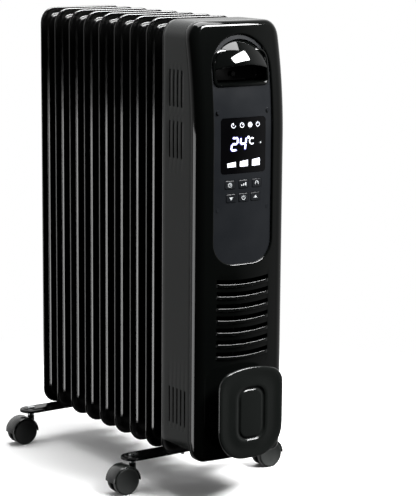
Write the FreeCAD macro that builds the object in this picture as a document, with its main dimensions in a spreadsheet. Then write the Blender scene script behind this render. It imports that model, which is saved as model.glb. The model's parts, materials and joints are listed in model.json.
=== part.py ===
import FreeCAD, Part
import math
import os

import Sketcher
from FreeCAD import Placement, Rotation, Vector

# Oil filled radiator heater with nine fins, a front control casing and four twin-wheel casters.
# Millimetres, +Z up, the front faces -Y. The origin is on the floor, under the middle of the
# object. Fixed sub-parts are drawn with y = 0 at the casing's rear edge, which is the plane of
# the first fin, and are then placed by case_rear_y. Casters are drawn about their own stem.

doc = FreeCAD.newDocument("oil_filled_radiator")
sheet = doc.addObject("Spreadsheet::Sheet", "dims")

DIMENSIONS = {
    # where the casing's rear edge stands
    "case_rear_y": -112,
    # fins
    "fin_pitch": 40, "fin_width": 140, "fin_height": 580, "fin_bottom": 48, "fin_corner": 22,
    "fin_flange": 1.2, "fin_band": 12.5, "fin_wall": 0.6, "panel_depth": 8, "panel_corner": 16,
    "channel_depth": 13, "channel_width": 20, "channel_spacing": 34, "channel_low": 128,
    "channel_high": 548, "boss_depth": 20, "boss_radius": 30, "port_radius": 13,
    "header_low": 93, "header_high": 583, "collar_radius": 20,
    "collar_wall": 1.2, "cap_radius": 18, "cap_thick": 1.5, "filler_radius": 6,
    "plug_flats": 17, "plug_high": 6, "plug_reach": 8,
    # casing outline and front face
    "case_bottom": 58, "case_side_bottom": 73, "case_top_corner": 22, "case_foot_corner": 15,
    "sheet_wall": 1, "case_rear_gap": 1.8, "seam_y": -67, "seam_gap": 0.3,
    "edge_radius": 15.2, "crown_radius": 400, "shell_wall": 2.5, "lean_start": 475,
    "lean_radius": 600, "lean_top": 640,
    # side slots and the cord's way in
    "slot_width": 3, "slot_pitch": 9.1, "gland_y": -36, "gland_z": 88, "gland_radius": 6.5,
    "gland_rim": 9, "gland_rim_thick": 2.5, "gland_deep": 13, "gland_nut_thick": 5,
    # front vents
    "vent_half": 40.6, "vent_top": 289.5, "vent_pitch": 15.9, "vent_open": 5.4,
    "vent_bow": 306, "rib_height": 4.2, "rib_proud": 1.6,
    # control strip and what it carries
    "strip_half": 45, "strip_bottom": 317, "strip_shoulder": 566, "strip_foot_corner": 30,
    "strip_wall": 2.2, "strip_lip": 2.5, "grip_half": 42, "grip_bottom": 547,
    "grip_wall": 2, "grip_floor_y": -52, "grip_corner": 7, "grip_shoulder": 563,
    "grip_screw_z": 560, "grip_boss": 6, "dome_radius": 75, "dome_z": 548,
    "dome_front_y": -92, "dome_wall": 2.5, "mouth_top": 570,
    "lens_half": 35, "lens_low": 434.5, "lens_high": 506.5,
    "lens_corner": 5, "lens_gap": 0.15, "key_width": 15, "key_height": 11, "key_corner": 2,
    "key_gap": 0.35, "key_proud": 0.4, "key_back_y": -79.9, "key_rim_thick": 1.2,
    "key_stem_half": 2.5, "key_stem_reach": 3.7, "module_front_y": -79.4,
    "board_y": -69.6, "board_thick": 1.6, "board_post": 2.5,
    # winder
    "plate_half": 50.2, "plate_bottom": 62, "plate_top": 184, "plate_front_y": -107.5,
    "plate_thick": 4.5, "plate_foot": 40, "plate_head": 22, "plate_arch": 120,
    "recess_depth": 2.5, "post_half": 22, "post_low": 86, "post_high": 158,
    "post_corner": 16, "seat_y": -88, "winder_screw_inset": 12,
    # feet and casters
    "foot_front_y": 20, "foot_rear_y": 300, "stem_x": 103, "foot_half": 16,
    "foot_top": 51, "foot_sheet": 1.5, "foot_rim": 5, "u_bolt_rod": 5, "u_bolt_bend": 22.8,
    "trail": 14.5, "wheel_radius": 18.4, "wheel_wide": 7.8, "web_wide": 6.8, "side_gap": 0.3,
    "hood_inner": 19.1, "hood_outer": 21, "hood_half": 12.2, "axle_radius": 2,
    "stem_radius": 4.5, "neck_radius": 3, "pin_radius": 2, "pin_low": 25, "socket_top": 40,
    "wheel_hollow": 15.5, "wheel_hub": 5, "wheel_face": 1.8, "web_hub": 7, "fit": 0.05,
    # heating
    "element_radius": 3.25, "element_leg": 4.6, "element_start": -26, "element_end": 296,
    "flange_radius": 21, "flange_thick": 3, "flange_flats": 32, "flange_hexagon": 6,
    "gasket_thick": 1.5, "cord_radius": 3.6, "cutout_z": 300, "cutout_radius": 8,
    "cutout_high": 9, "shield_thick": 0.8, "spacer_high": 12,
    # screws
    "screw_head": 3, "screw_head_high": 1.8, "screw_shank": 1.5, "screw_hole": 1.6,
}
for row, (alias, number) in enumerate(DIMENSIONS.items(), start=1):
    sheet.set(f"A{row}", alias)
    sheet.set(f"B{row}", str(number))
    sheet.setAlias(f"B{row}", alias)
doc.recompute()


class Size:
    """A number and the spreadsheet formula that gives it."""

    def __init__(self, value, formula=None):
        self.value = float(value)
        self.formula = formula or repr(float(value))

    def _join(self, other, sign, value):
        return Size(value, f"({self.formula} {sign} {size(other).formula})")

    def __add__(self, other):
        return self._join(other, "+", self.value + size(other).value)

    def __sub__(self, other):
        return self._join(other, "-", self.value - size(other).value)

    def __mul__(self, other):
        return self._join(other, "*", self.value * size(other).value)

    def __truediv__(self, other):
        return self._join(other, "/", self.value / size(other).value)

    def __neg__(self):
        return Size(-self.value, f"(0 - {self.formula})")

    def __radd__(self, other):
        return size(other) + self

    def __rsub__(self, other):
        return size(other) - self


def size(thing):
    return thing if isinstance(thing, Size) else Size(thing)


def root(square):
    return Size(math.sqrt(square.value), f"sqrt({square.formula})")


class Dims:
    def __getattr__(self, alias):
        return Size(DIMENSIONS[alias], f"dims.{alias}")


d = Dims()
FIN_NUMBERS = range(1, 10)
KEY_PLACES = {
    "key_timer": (-21, 420.5), "key_mode": (0, 420.5), "key_level": (21, 420.5),
    "key_down": (-19, 403), "key_power": (0, 403), "key_up": (19, 403),
}
# Cooling slots in both sides: rows of (name, first y, count, lowest z, highest z).
SLOT_ROWS = (
    ("high", -17, 4, 518.6, 566), ("middle", -17, 4, 452.7, 500.5), ("foot", -18.5, 5, 101, 149.5),
)
VENT_COUNT = 7
# Cutting blocks reach past the object: to this x, this far in front, and from this low.
CLEAR_X, CLEAR_Y, CLEAR_LOW = 80, -130, 50
nodes = []


# ---- document helpers -----------------------------------------------------------------------

def bind(thing, **sizes):
    """Bind properties of a document object to spreadsheet formulas."""
    for name, amount in sizes.items():
        thing.setExpression(name, size(amount).formula)


def place(thing, x=0, y=0, z=0, turn=0):
    """Turn a sub-part about Z, then put it at x, y, z."""
    thing.Placement = Placement(Vector(0, 0, 0), Rotation(Vector(0, 0, 1), turn))
    for axis, amount in (("x", x), ("y", y), ("z", z)):
        thing.setExpression(f"Placement.Base.{axis}", size(amount).formula)


def keep(thing, node, y=None):
    """Name a finished sub-part. Most of them stand in the casing's frame."""
    thing.Label = node
    place(thing, y=d.case_rear_y if y is None else y)
    nodes.append(thing)
    return thing


def new_body(name):
    return doc.addObject("PartDesign::Body", name)


def sketch_on(body, name, plane, offset=0):
    """Sketch on one of the body's origin planes, moved along the plane's normal."""
    base = next(item for item in body.Origin.OriginFeatures if item.Role == plane)
    sketch = body.newObject("Sketcher::SketchObject", name)
    sketch.AttachmentSupport = [(base, "")]
    sketch.MapMode = "FlatFace"
    sketch.setExpression("AttachmentOffset.Base.z", size(offset).formula)
    return sketch


def datum(sketch, kind, *where):
    """Add a dimension that follows its spreadsheet formula."""
    amount = size(where[-1])
    index = sketch.addConstraint(Sketcher.Constraint(kind, *where[:-1], amount.value))
    sketch.setExpression(f"Constraints[{index}]", amount.formula)


def outline(sketch, corners):
    """Closed outline. A corner is (x, y), or (x, y, radius) when an arc leaves it: to the
    left of its chord when the radius is positive, to the right when it is negative."""
    count = len(corners)
    base = sketch.GeometryCount
    ends = []
    for index, corner in enumerate(corners):
        follower = corners[(index + 1) % count]
        start = Vector(size(corner[0]).value, size(corner[1]).value, 0)
        end = Vector(size(follower[0]).value, size(follower[1]).value, 0)
        if len(corner) == 2:
            sketch.addGeometry(Part.LineSegment(start, end))
            ends.append((1, 2))
            continue
        radius = abs(size(corner[2]).value)
        side = 1 if size(corner[2]).value > 0 else -1
        chord = end - start
        rise = math.sqrt(max(radius ** 2 - (chord.Length / 2) ** 2, 0))
        normal = Vector(-chord.y, chord.x, 0).normalize()
        centre = (start + end) / 2 + normal * rise * side
        first, last = (start, end) if side > 0 else (end, start)
        angles = [math.atan2(p.y - centre.y, p.x - centre.x) for p in (first, last)]
        circle = Part.Circle(centre, Vector(0, 0, 1), radius)
        sketch.addGeometry(Part.ArcOfCircle(circle, angles[0], angles[1]))
        ends.append((1, 2) if side > 0 else (2, 1))
    for index in range(count):
        after = (index + 1) % count
        sketch.addConstraint(Sketcher.Constraint(
            "Coincident", base + index, ends[index][1], base + after, ends[after][0]))
    for index, corner in enumerate(corners):
        datum(sketch, "DistanceX", -1, 1, base + index, ends[index][0], corner[0])
        datum(sketch, "DistanceY", -1, 1, base + index, ends[index][0], corner[1])
        if len(corner) == 3:
            bend = size(corner[2])
            datum(sketch, "Radius", base + index, bend if bend.value > 0 else -bend)


def circle(sketch, x, y, radius):
    index = sketch.addGeometry(
        Part.Circle(Vector(size(x).value, size(y).value, 0), Vector(0, 0, 1), size(radius).value))
    datum(sketch, "DistanceX", -1, 1, index, 3, x)
    datum(sketch, "DistanceY", -1, 1, index, 3, y)
    datum(sketch, "Radius", index, radius)


def rounded(left, right, low, high, low_radius, high_radius=None):
    """Corners of a rounded rectangle, anticlockwise."""
    foot, head = size(low_radius), size(low_radius if high_radius is None else high_radius)
    left, right, low, high = size(left), size(right), size(low), size(high)
    return [
        (left + foot, low), (right - foot, low, foot), (right, low + foot),
        (right, high - head, head), (right - head, high), (left + head, high, head),
        (left, high - head), (left, low + foot, foot),
    ]


def pad(body, sketch, length, symmetric=False, backwards=False, kind="Pad"):
    """Pad or pocket a sketch. On XZ sketches a pad grows towards the front (-Y)."""
    feature = body.newObject(f"PartDesign::{kind}", f"{kind}_of_{sketch.Name}")
    feature.Profile = sketch
    feature.SideType = "Symmetric" if symmetric else "One side"
    feature.Reversed = backwards
    bind(feature, Length=length)
    return feature


def pocket(body, sketch, length, symmetric=False, backwards=False):
    return pad(body, sketch, length, symmetric, backwards, kind="Pocket")


def prism(name, corners, back_y, front_y, holes=()):
    """Solid with a front-view outline, from back_y forwards to front_y."""
    body = new_body(name)
    sketch = sketch_on(body, f"{name}_face", "XZ_Plane", -size(back_y))
    outline(sketch, corners)
    for hole in holes:
        circle(sketch, *hole)
    pad(body, sketch, size(back_y) - front_y)
    return body


def slab(name, corners, low_z, high_z, holes=()):
    """Solid with a plan-view outline, from low_z up to high_z."""
    body = new_body(name)
    sketch = sketch_on(body, f"{name}_plan", "XY_Plane", low_z)
    outline(sketch, corners)
    for hole in holes:
        circle(sketch, *hole)
    pad(body, sketch, size(high_z) - low_z)
    return body


def boolean(kind, name, base, tool):
    result = doc.addObject(f"Part::{kind}", name)
    result.Base, result.Tool = base, tool
    return result


def cut(name, base, *tools):
    for index, tool in enumerate(tools):
        base = boolean("Cut", f"{name}_cut_{index}", base, tool)
    return base


def fuse(name, first, *others):
    for index, other in enumerate(others):
        first = boolean("Fuse", f"{name}_join_{index}", first, other)
    return first


def group(name, members):
    result = doc.addObject("Part::Compound", name)
    result.Links = members
    return result


def block(name, x, y, z, length, width, height):
    """Box with its lowest corner at x, y, z."""
    solid = doc.addObject("Part::Box", name)
    bind(solid, Length=length, Width=width, Height=height)
    place(solid, x, y, z)
    return solid


AXIS_TURNS = {
    "Z": Rotation(), "Y": Rotation(Vector(1, 0, 0), -90), "X": Rotation(Vector(0, 1, 0), 90),
}


def rod(name, axis, x, y, z, radius, length):
    """Cylinder that starts at x, y, z and runs along +X, +Y or +Z."""
    solid = doc.addObject("Part::Cylinder", name)
    bind(solid, Radius=radius, Height=length)
    place(solid, x, y, z)
    solid.Placement = Placement(solid.Placement.Base, AXIS_TURNS[axis])
    return solid


def ring(name, axis, x, y, z, outer, inner, length):
    return cut(name, rod(f"{name}_outer", axis, x, y, z, outer, length),
               rod(f"{name}_bore", axis, x, y, z, inner, length))


def hexagon(name, axis, x, y, z, across_flats, length):
    solid = doc.addObject("Part::Prism", name)
    solid.Polygon = 6
    bind(solid, Circumradius=size(across_flats) / math.sqrt(3), Height=length)
    place(solid, x, y, z)
    solid.Placement = Placement(solid.Placement.Base, AXIS_TURNS[axis])
    return solid


# ---- radiator -------------------------------------------------------------------------------

def fin_cavity(body, name, corners, depth):
    sketch = sketch_on(body, name, "XZ_Plane")
    outline(sketch, corners)
    pocket(body, sketch, depth, symmetric=True)


def channel(centre, width_change):
    half = d.channel_width / 2 + width_change
    return rounded(centre - half, centre + half, d.channel_low, d.channel_high, half - 0.5)


def make_fin(number):
    """Two pressed sheets welded round the edge: a flat band, a raised panel, three oil
    channels and two header bosses with ports. The inside is hollow and holds the oil."""
    body = new_body(f"fin_body_{number}")
    half = d.fin_width / 2
    top = d.fin_bottom + d.fin_height
    inset = half - d.fin_band
    panel = (-inset, inset, d.fin_bottom + d.fin_band, top - d.fin_band)
    edge = sketch_on(body, f"fin_edge_{number}", "XZ_Plane")
    outline(edge, rounded(-half, half, d.fin_bottom, top, d.fin_corner))
    pad(body, edge, d.fin_flange, symmetric=True)
    raised = sketch_on(body, f"fin_panel_{number}", "XZ_Plane")
    outline(raised, rounded(*panel, d.panel_corner))
    pad(body, raised, d.panel_depth, symmetric=True)
    centres = [-d.channel_spacing, size(0), d.channel_spacing]
    for index, centre in enumerate(centres):
        sketch = sketch_on(body, f"fin_channel_{number}_{index}", "XZ_Plane")
        outline(sketch, channel(centre, 0))
        pad(body, sketch, d.channel_depth, symmetric=True)
    bosses = sketch_on(body, f"fin_bosses_{number}", "XZ_Plane")
    for height in (d.header_low, d.header_high):
        circle(bosses, 0, height, d.boss_radius)
    pad(body, bosses, d.boss_depth, symmetric=True)
    wall = d.fin_wall
    left, right, low, high = panel
    fin_cavity(body, f"fin_oil_panel_{number}", rounded(
        left + wall, right - wall, low + wall, high - wall, d.panel_corner - wall),
        d.panel_depth - wall * 2)
    for index, centre in enumerate(centres):
        fin_cavity(body, f"fin_oil_channel_{number}_{index}", channel(centre, -wall),
                   d.channel_depth - wall * 2)
    for name, radius, depth in (
            ("oil_header", d.boss_radius - wall, d.boss_depth - wall * 2),
            ("port", d.port_radius, d.boss_depth + 2)):
        sketch = sketch_on(body, f"fin_{name}_{number}", "XZ_Plane")
        for height in (d.header_low, d.header_high):
            circle(sketch, 0, height, radius)
        pocket(body, sketch, depth, symmetric=True)
    keep(body, f"fin_{number}", d.case_rear_y + d.fin_pitch * (number - 1))


def make_collars():
    """Short tubes that join each fin's header bosses to the next one's."""
    boss = d.boss_depth / 2
    rings = [
        ring(f"collar_{name}_{gap}", "Y", 0, d.fin_pitch * gap + boss, height, d.collar_radius,
             d.collar_radius - d.collar_wall, d.fin_pitch - d.boss_depth)
        for name, height in (("top", d.header_high), ("bottom", d.header_low))
        for gap in range(len(FIN_NUMBERS) - 1)
    ]
    keep(group("collars", rings), "header_collars")


def make_header_ends():
    """Welded discs close the three header ports that carry no heating element."""
    boss = d.boss_depth / 2
    thick = d.cap_thick
    last = d.fin_pitch * (len(FIN_NUMBERS) - 1) + boss
    filler = ring("cap_front", "Y", 0, -boss - thick, d.header_high, d.cap_radius,
                  d.filler_radius, thick)
    caps = [filler] + [
        rod(f"cap_rear_{index}", "Y", 0, last, height, d.cap_radius, thick)
        for index, height in enumerate((d.header_low, d.header_high))
    ]
    keep(group("end_caps", caps), "header_end_caps")
    head = hexagon("plug_head", "Y", 0, -boss - thick - d.plug_high, d.header_high,
                   d.plug_flats, d.plug_high)
    shank = rod("plug_shank", "Y", 0, -boss - thick, d.header_high, d.filler_radius - d.fit,
                d.plug_reach)
    keep(fuse("plug", head, shank), "oil_filler_plug")


def make_hairpin(name, side):
    """Hairpin tube heater that lies in the lower header: two legs joined by a bend."""
    body = new_body(f"{name}_body")
    level = d.header_low + d.element_leg * side
    spine = sketch_on(body, f"{name}_spine", "XY_Plane", level)
    leg, start, end = d.element_leg, d.element_start, d.element_end
    spine.addGeometry(Part.LineSegment(
        Vector(-leg.value, start.value, 0), Vector(-leg.value, end.value, 0)))
    bend = Part.Circle(Vector(0, end.value, 0), Vector(0, 0, 1), leg.value)
    spine.addGeometry(Part.ArcOfCircle(bend, 0, math.pi))
    spine.addGeometry(Part.LineSegment(
        Vector(leg.value, end.value, 0), Vector(leg.value, start.value, 0)))
    spine.addConstraint(Sketcher.Constraint("Coincident", 0, 2, 1, 2))
    spine.addConstraint(Sketcher.Constraint("Coincident", 1, 1, 2, 1))
    datum(spine, "DistanceX", -1, 1, 0, 1, -leg)
    datum(spine, "DistanceY", -1, 1, 0, 1, start)
    datum(spine, "DistanceX", -1, 1, 0, 2, -leg)
    datum(spine, "DistanceY", -1, 1, 0, 2, end)
    datum(spine, "DistanceX", -1, 1, 1, 3, 0)
    datum(spine, "DistanceY", -1, 1, 1, 3, end)
    datum(spine, "DistanceX", -1, 1, 2, 2, leg)
    datum(spine, "DistanceY", -1, 1, 2, 2, start)
    section = sketch_on(body, f"{name}_section", "XZ_Plane", -start)
    circle(section, -leg, level, d.element_radius)
    tube = body.newObject("PartDesign::AdditivePipe", f"{name}_tube")
    tube.Profile, tube.Spine = section, spine
    return body


def make_elements():
    hairpins = [make_hairpin("hairpin_low", -1), make_hairpin("hairpin_high", 1)]
    keep(group("hairpins", hairpins), "heating_elements")


def make_element_seat():
    """Screw-in flange with a hexagon for the spanner, on its flat gasket."""
    boss = d.boss_depth / 2
    legs = [
        rod(f"leg_hole_{x}_{z}", "Y", d.element_leg * x, -40, d.header_low + d.element_leg * z,
            d.element_radius + d.fit, 40)
        for x in (-1, 1) for z in (-1, 1)
    ]
    gasket_y = -boss - d.gasket_thick
    plate_y = gasket_y - d.flange_thick
    plate = rod("flange_plate", "Y", 0, plate_y, d.header_low, d.flange_radius, d.flange_thick)
    spanner = hexagon("flange_spanner", "Y", 0, plate_y - d.flange_hexagon, d.header_low,
                      d.flange_flats, d.flange_hexagon)
    keep(cut("flange", fuse("flange", plate, spanner), *legs), "element_flange")
    keep(ring("gasket", "Y", 0, gasket_y, d.header_low, d.flange_radius, d.port_radius,
              d.gasket_thick), "element_gasket")


def make_thermal_cutout():
    """Disc thermostat that presses on the first fin and cuts the supply if it overheats."""
    face = d.channel_depth / 2
    back = -face - d.cutout_high
    lug_thick, blade_long, blade_thick = 1, 8, 0.8
    disc = rod("cutout_disc", "Y", 0, back, d.cutout_z, d.cutout_radius, d.cutout_high)
    lug = block("cutout_lug", -14, -face - lug_thick, d.cutout_z - 4, 28, lug_thick, 8)
    blades = [
        block(f"cutout_blade_{x}", x - 3, back - blade_long, d.cutout_z - blade_thick / 2, 6,
              blade_long, blade_thick)
        for x in (-4.5, 4.5)
    ]
    keep(fuse("cutout", disc, lug, *blades), "thermal_cutout")


# ---- casing ---------------------------------------------------------------------------------

def lean_path(body, name):
    """Upright line that turns into an arc and leans back above lean_start."""
    path = sketch_on(body, name, "YZ_Plane")
    rise = (d.lean_top - d.lean_start).value
    radius = d.lean_radius.value
    path.addGeometry(Part.LineSegment(
        Vector(0, CLEAR_LOW, 0), Vector(0, d.lean_start.value, 0)))
    bend = Part.Circle(Vector(radius, d.lean_start.value, 0), Vector(0, 0, 1), radius)
    path.addGeometry(Part.ArcOfCircle(bend, math.pi - math.asin(rise / radius), math.pi))
    path.addConstraint(Sketcher.Constraint("Coincident", 0, 2, 1, 2))
    datum(path, "DistanceX", -1, 1, 0, 1, 0)
    datum(path, "DistanceY", -1, 1, 0, 1, CLEAR_LOW)
    datum(path, "DistanceX", -1, 1, 0, 2, 0)
    datum(path, "DistanceY", -1, 1, 0, 2, d.lean_start)
    datum(path, "DistanceY", -1, 1, 1, 3, d.lean_start)
    datum(path, "Radius", 1, d.lean_radius)
    datum(path, "DistanceY", -1, 1, 1, 1, d.lean_top)
    return path


def leaning_solid(name, corners):
    """Plan-view outline carried up the lean path without turning."""
    body = new_body(name)
    section = sketch_on(body, f"{name}_section", "XY_Plane", CLEAR_LOW)
    outline(section, corners)
    sweep = body.newObject("PartDesign::AdditivePipe", f"{name}_sweep")
    sweep.Profile, sweep.Spine = section, lean_path(body, f"{name}_path")
    sweep.Mode = "Fixed"
    return body


def crown_drop(half_width):
    """How far the crowned front face falls back at half_width from the middle."""
    half = size(half_width)
    return d.crown_radius - root(d.crown_radius * d.crown_radius - half * half)


EDGE_X = d.fin_width / 2 - d.edge_radius
EDGE_Y = d.seam_y - d.edge_radius
FACE_Y = EDGE_Y - crown_drop(EDGE_X)


def crowned(name, half_width, behind_face, thickness):
    """Sheet that follows the crowned, leaning front face at a distance behind it."""
    half, front = size(half_width), FACE_Y + behind_face
    side = front + crown_drop(half)
    return leaning_solid(name, [
        (-half, side + thickness), (-half, side, d.crown_radius),
        (half, side), (half, side + thickness, -d.crown_radius)])


def case_outline(inset=0):
    half = d.fin_width / 2 - inset
    top = d.fin_bottom + d.fin_height
    return rounded(-half, half, d.case_bottom + inset, top - inset,
                   d.case_foot_corner - inset, d.case_top_corner - inset)


def make_side_casing():
    """Sheet steel casing: two slotted side panels and a top panel with rolled corners."""
    far = size(-95)
    rear = -d.case_rear_gap
    wide, deep = CLEAR_X * 2, -CLEAR_Y
    seam = d.seam_y + d.seam_gap
    shell = cut("wrap", prism("wrap_outer", case_outline(), rear, far),
                prism("wrap_inner", case_outline(d.sheet_wall), rear + 1, far - 1),
                block("wrap_open_foot", -CLEAR_X, CLEAR_Y, CLEAR_LOW, wide, deep,
                      d.case_side_bottom - CLEAR_LOW),
                leaning_solid("wrap_front_trim", [
                    (-CLEAR_X, CLEAR_Y), (CLEAR_X, CLEAR_Y), (CLEAR_X, seam), (-CLEAR_X, seam)]))
    slots = []
    for row, first_y, count, low, high in SLOT_ROWS:
        for index in range(count):
            edge = first_y - d.slot_pitch * index - d.slot_width / 2
            slots.append(block(f"slot_{row}_{index}", -CLEAR_X, edge, low, wide, d.slot_width,
                               high - low))
    gland_hole = rod("gland_hole", "X", 60, d.gland_y, d.gland_z, d.gland_radius + d.fit, 20)
    wrap = cut("side_slots", shell, group("all_slots", slots), gland_hole)
    bend_z = d.fin_bottom + d.fin_height - d.case_top_corner
    for node, x, z, length, height in (
            ("side_panel_left", -CLEAR_X, CLEAR_LOW, CLEAR_X, bend_z - CLEAR_LOW),
            ("side_panel_right", 0, CLEAR_LOW, CLEAR_X, bend_z - CLEAR_LOW),
            ("top_panel", -CLEAR_X, bend_z, wide, 40)):
        keep(boolean("Common", f"{node}_cut_out", wrap,
                     block(f"{node}_room", x, CLEAR_Y, z, length, deep, height)), node)


def strip_outline(grow=0):
    """Tall panel with a rounded foot and a half-round head."""
    half = d.strip_half + grow
    foot = d.strip_foot_corner + grow
    low = d.strip_bottom - grow
    return [(-half + foot, low), (half - foot, low, foot), (half, low + foot),
            (half, d.strip_shoulder, half), (0, d.strip_shoulder + half, half),
            (-half, d.strip_shoulder), (-half, low + foot, foot)]


def bowed_band(sketch, half, low, height):
    """Band whose two long edges sag in the middle."""
    outline(sketch, [(-half, low, d.vent_bow), (half, low), (half, low + height, -d.vent_bow),
                     (-half, low + height)])


def make_vent_cutters():
    cutters, ribs = [], []
    for index in range(VENT_COUNT):
        low = d.vent_top - d.vent_pitch * index
        for name, bottom, height, store in (
                ("vent", low + d.rib_height, d.vent_open, cutters),
                ("rib", low, d.rib_height, ribs)):
            body = new_body(f"{name}_{index}")
            sketch = sketch_on(body, f"{name}_{index}_band", "XZ_Plane", 70)
            bowed_band(sketch, d.vent_half, bottom, height)
            pad(body, sketch, 30)
            store.append(body)
    return cutters, ribs


def post_outline(grow=0):
    half = d.post_half + grow
    return rounded(-half, half, d.post_low - grow, d.post_high + grow, d.post_corner)


def make_front_fascia():
    """Moulded front shell: crowned face, leaning top, panel opening, seven vents with a rib
    under each, and the seat of the cord winder."""
    half = d.fin_width / 2
    outer = leaning_solid("fascia_outer_block", [
        (-half, d.seam_y, d.edge_radius), (-EDGE_X, EDGE_Y, d.crown_radius),
        (EDGE_X, EDGE_Y, d.edge_radius), (half, d.seam_y)])
    wall = d.shell_wall
    inner_half = half - wall
    inner_y = EDGE_Y + wall
    inner = leaning_solid("fascia_inner_block", [
        (-inner_half, d.seam_y + 10), (-inner_half, d.seam_y, d.edge_radius - wall),
        (-EDGE_X, inner_y, d.crown_radius), (EDGE_X, inner_y, d.edge_radius - wall),
        (inner_half, d.seam_y), (inner_half, d.seam_y + 10)])
    face = boolean("Common", "fascia_face", outer,
                   prism("fascia_outline", case_outline(), -20, -100))
    core = boolean("Common", "fascia_core", inner,
                   prism("fascia_core_outline", case_outline(wall), -20, -100))
    shell = cut("fascia_shell", face, core)
    vents, ribs = make_vent_cutters()
    proud = crowned("rib_zone", d.vent_half + 1, -d.rib_proud, wall + d.rib_proud)
    ribs_trimmed = boolean("Common", "ribs_trimmed", group("all_ribs", ribs), proud)
    seat = cut("winder_seat", prism("winder_seat_block", post_outline(2), -80, d.seat_y), core)
    shell = fuse("fascia_built", shell, ribs_trimmed, seat)
    opening = prism("panel_opening", strip_outline(), -30, -110)
    keep(cut("fascia", shell, opening, group("all_vents", vents)), "front_fascia")


def grip_outline(shrink=0):
    half = d.grip_half - shrink
    low = d.grip_bottom + shrink
    corner = d.grip_corner - shrink
    return [(-half + corner, low), (half - corner, low, corner), (half, low + corner),
            (half, d.grip_shoulder, half), (0, d.grip_shoulder + half, half),
            (-half, d.grip_shoulder), (-half, low + corner, corner)]


def key_outline(x, z, grow=0):
    half, tall = d.key_width / 2 + grow, d.key_height / 2 + grow
    return rounded(x - half, x + half, z - tall, z + tall, d.key_corner)


def make_control_strip():
    """Panel insert behind the fascia's opening, with a window, key holes and board posts."""
    sheet_solid = crowned("strip_sheet", d.strip_half + 3, d.shell_wall + 0.05, d.strip_wall)
    trim = prism("strip_trim", strip_outline(d.strip_lip), -30, -110)
    strip = boolean("Common", "strip_blank", sheet_solid, trim)
    window = prism("strip_window", rounded(-d.lens_half, d.lens_half, d.lens_low, d.lens_high,
                                           d.lens_corner), -60, -110)
    grip = prism("strip_grip_hole", grip_outline(-0.2), -30, -110)
    holes = [
        prism(f"{node}_hole", key_outline(x, z, d.key_gap), -60, -110)
        for node, (x, z) in KEY_PLACES.items()
    ]
    post_y = size(-82)
    posts = [
        rod(f"board_post_{x}_{z}", "Y", x, post_y, z, d.board_post, d.board_y - post_y)
        for x in (-38.5, 38.5) for z in (389, 514)
    ]
    strip = fuse("strip", cut("strip_open", strip, window, grip, *holes), *posts)
    keep(strip, "control_strip")


def make_pull_handle():
    """Moulded grip: a half-round dome over a finger cup."""
    back = d.grip_floor_y
    outer = prism("grip_outer", grip_outline(), back, -100)
    inner = prism("grip_inner", grip_outline(d.grip_wall), back - d.grip_wall, -101)

    def ball(name, radius):
        solid = doc.addObject("Part::Sphere", name)
        bind(solid, Radius=radius)
        place(solid, 0, d.dome_front_y + d.dome_radius, d.dome_z)
        return solid

    shell = cut("grip_shell", boolean("Common", "grip_domed", outer,
                                      ball("dome_outside", d.dome_radius)),
                boolean("Common", "grip_hollow", inner,
                        ball("dome_inside", d.dome_radius - d.dome_wall)))
    half = d.grip_half - d.grip_wall
    mouth = block("grip_mouth", -half, -101, d.grip_bottom + d.grip_wall, half * 2, 45,
                  d.mouth_top - d.grip_bottom - d.grip_wall)
    flush_low = 500
    flush = block("grip_flush", -CLEAR_X, CLEAR_Y, flush_low, CLEAR_X * 2,
                  FACE_Y - CLEAR_Y + d.shell_wall + 3, d.mouth_top - flush_low)
    boss_high = 2
    boss = ring("grip_screw_boss", "Y", 0, back - d.grip_wall - boss_high, d.grip_screw_z,
                d.grip_boss, d.screw_hole, boss_high)
    hole = rod("grip_screw_hole", "Y", 0, back - 10, d.grip_screw_z, d.screw_hole, 20)
    keep(fuse("grip", cut("grip_open", shell, mouth, flush, hole), boss), "pull_handle")


def make_display():
    gap = d.lens_gap
    glass = boolean("Common", "lens_blank",
                    crowned("lens_sheet", d.lens_half + 2, d.shell_wall + 0.05, d.strip_wall),
                    prism("lens_trim", rounded(
                        -d.lens_half + gap, d.lens_half - gap, d.lens_low + gap,
                        d.lens_high - gap, d.lens_corner), -60, -110))
    keep(glass, "display_lens")
    margin = 4
    module = block("module", -d.lens_half + margin, d.module_front_y, d.lens_low + 3.5,
                   (d.lens_half - margin) * 2, d.board_y - d.module_front_y,
                   d.lens_high - d.lens_low - 8)
    keep(group("module_piece", [module]), "display_module")


def make_key(node, x, z):
    """Key cap, a retaining flange behind the strip, and a stem towards its switch."""
    front = FACE_Y + d.shell_wall - d.key_proud
    cap = prism(f"{node}_cap", key_outline(x, z), d.key_back_y, front + crown_drop(abs(x)))
    rim = key_outline(x, z, 0.8 if x else 0.7)
    stem_y = d.key_back_y + d.key_rim_thick
    flange = prism(f"{node}_flange", rim, stem_y, d.key_back_y)
    half = d.key_stem_half
    stem = block(f"{node}_stem", x - half, stem_y, z - half, half * 2, d.key_stem_reach, half * 2)
    keep(fuse(f"{node}_whole", cap, flange, stem), node)


def make_control_board():
    """Circuit board with a small push switch behind each key."""
    board = block("board_sheet", -42, d.board_y, 384, 84, d.board_thick, 135)
    half, deep, button_radius, button_high = 3, 3.5, 1.75, 0.9
    switches = []
    for index, (x, z) in enumerate(KEY_PLACES.values()):
        front = d.board_y - deep
        switches.append(block(f"switch_{index}", x - half, front, z - half, half * 2, deep,
                              half * 2))
        switches.append(rod(f"switch_{index}_button", "Y", x, front - button_high, z,
                            button_radius, button_high))
    keep(group("board", [board] + switches), "control_board")


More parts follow.
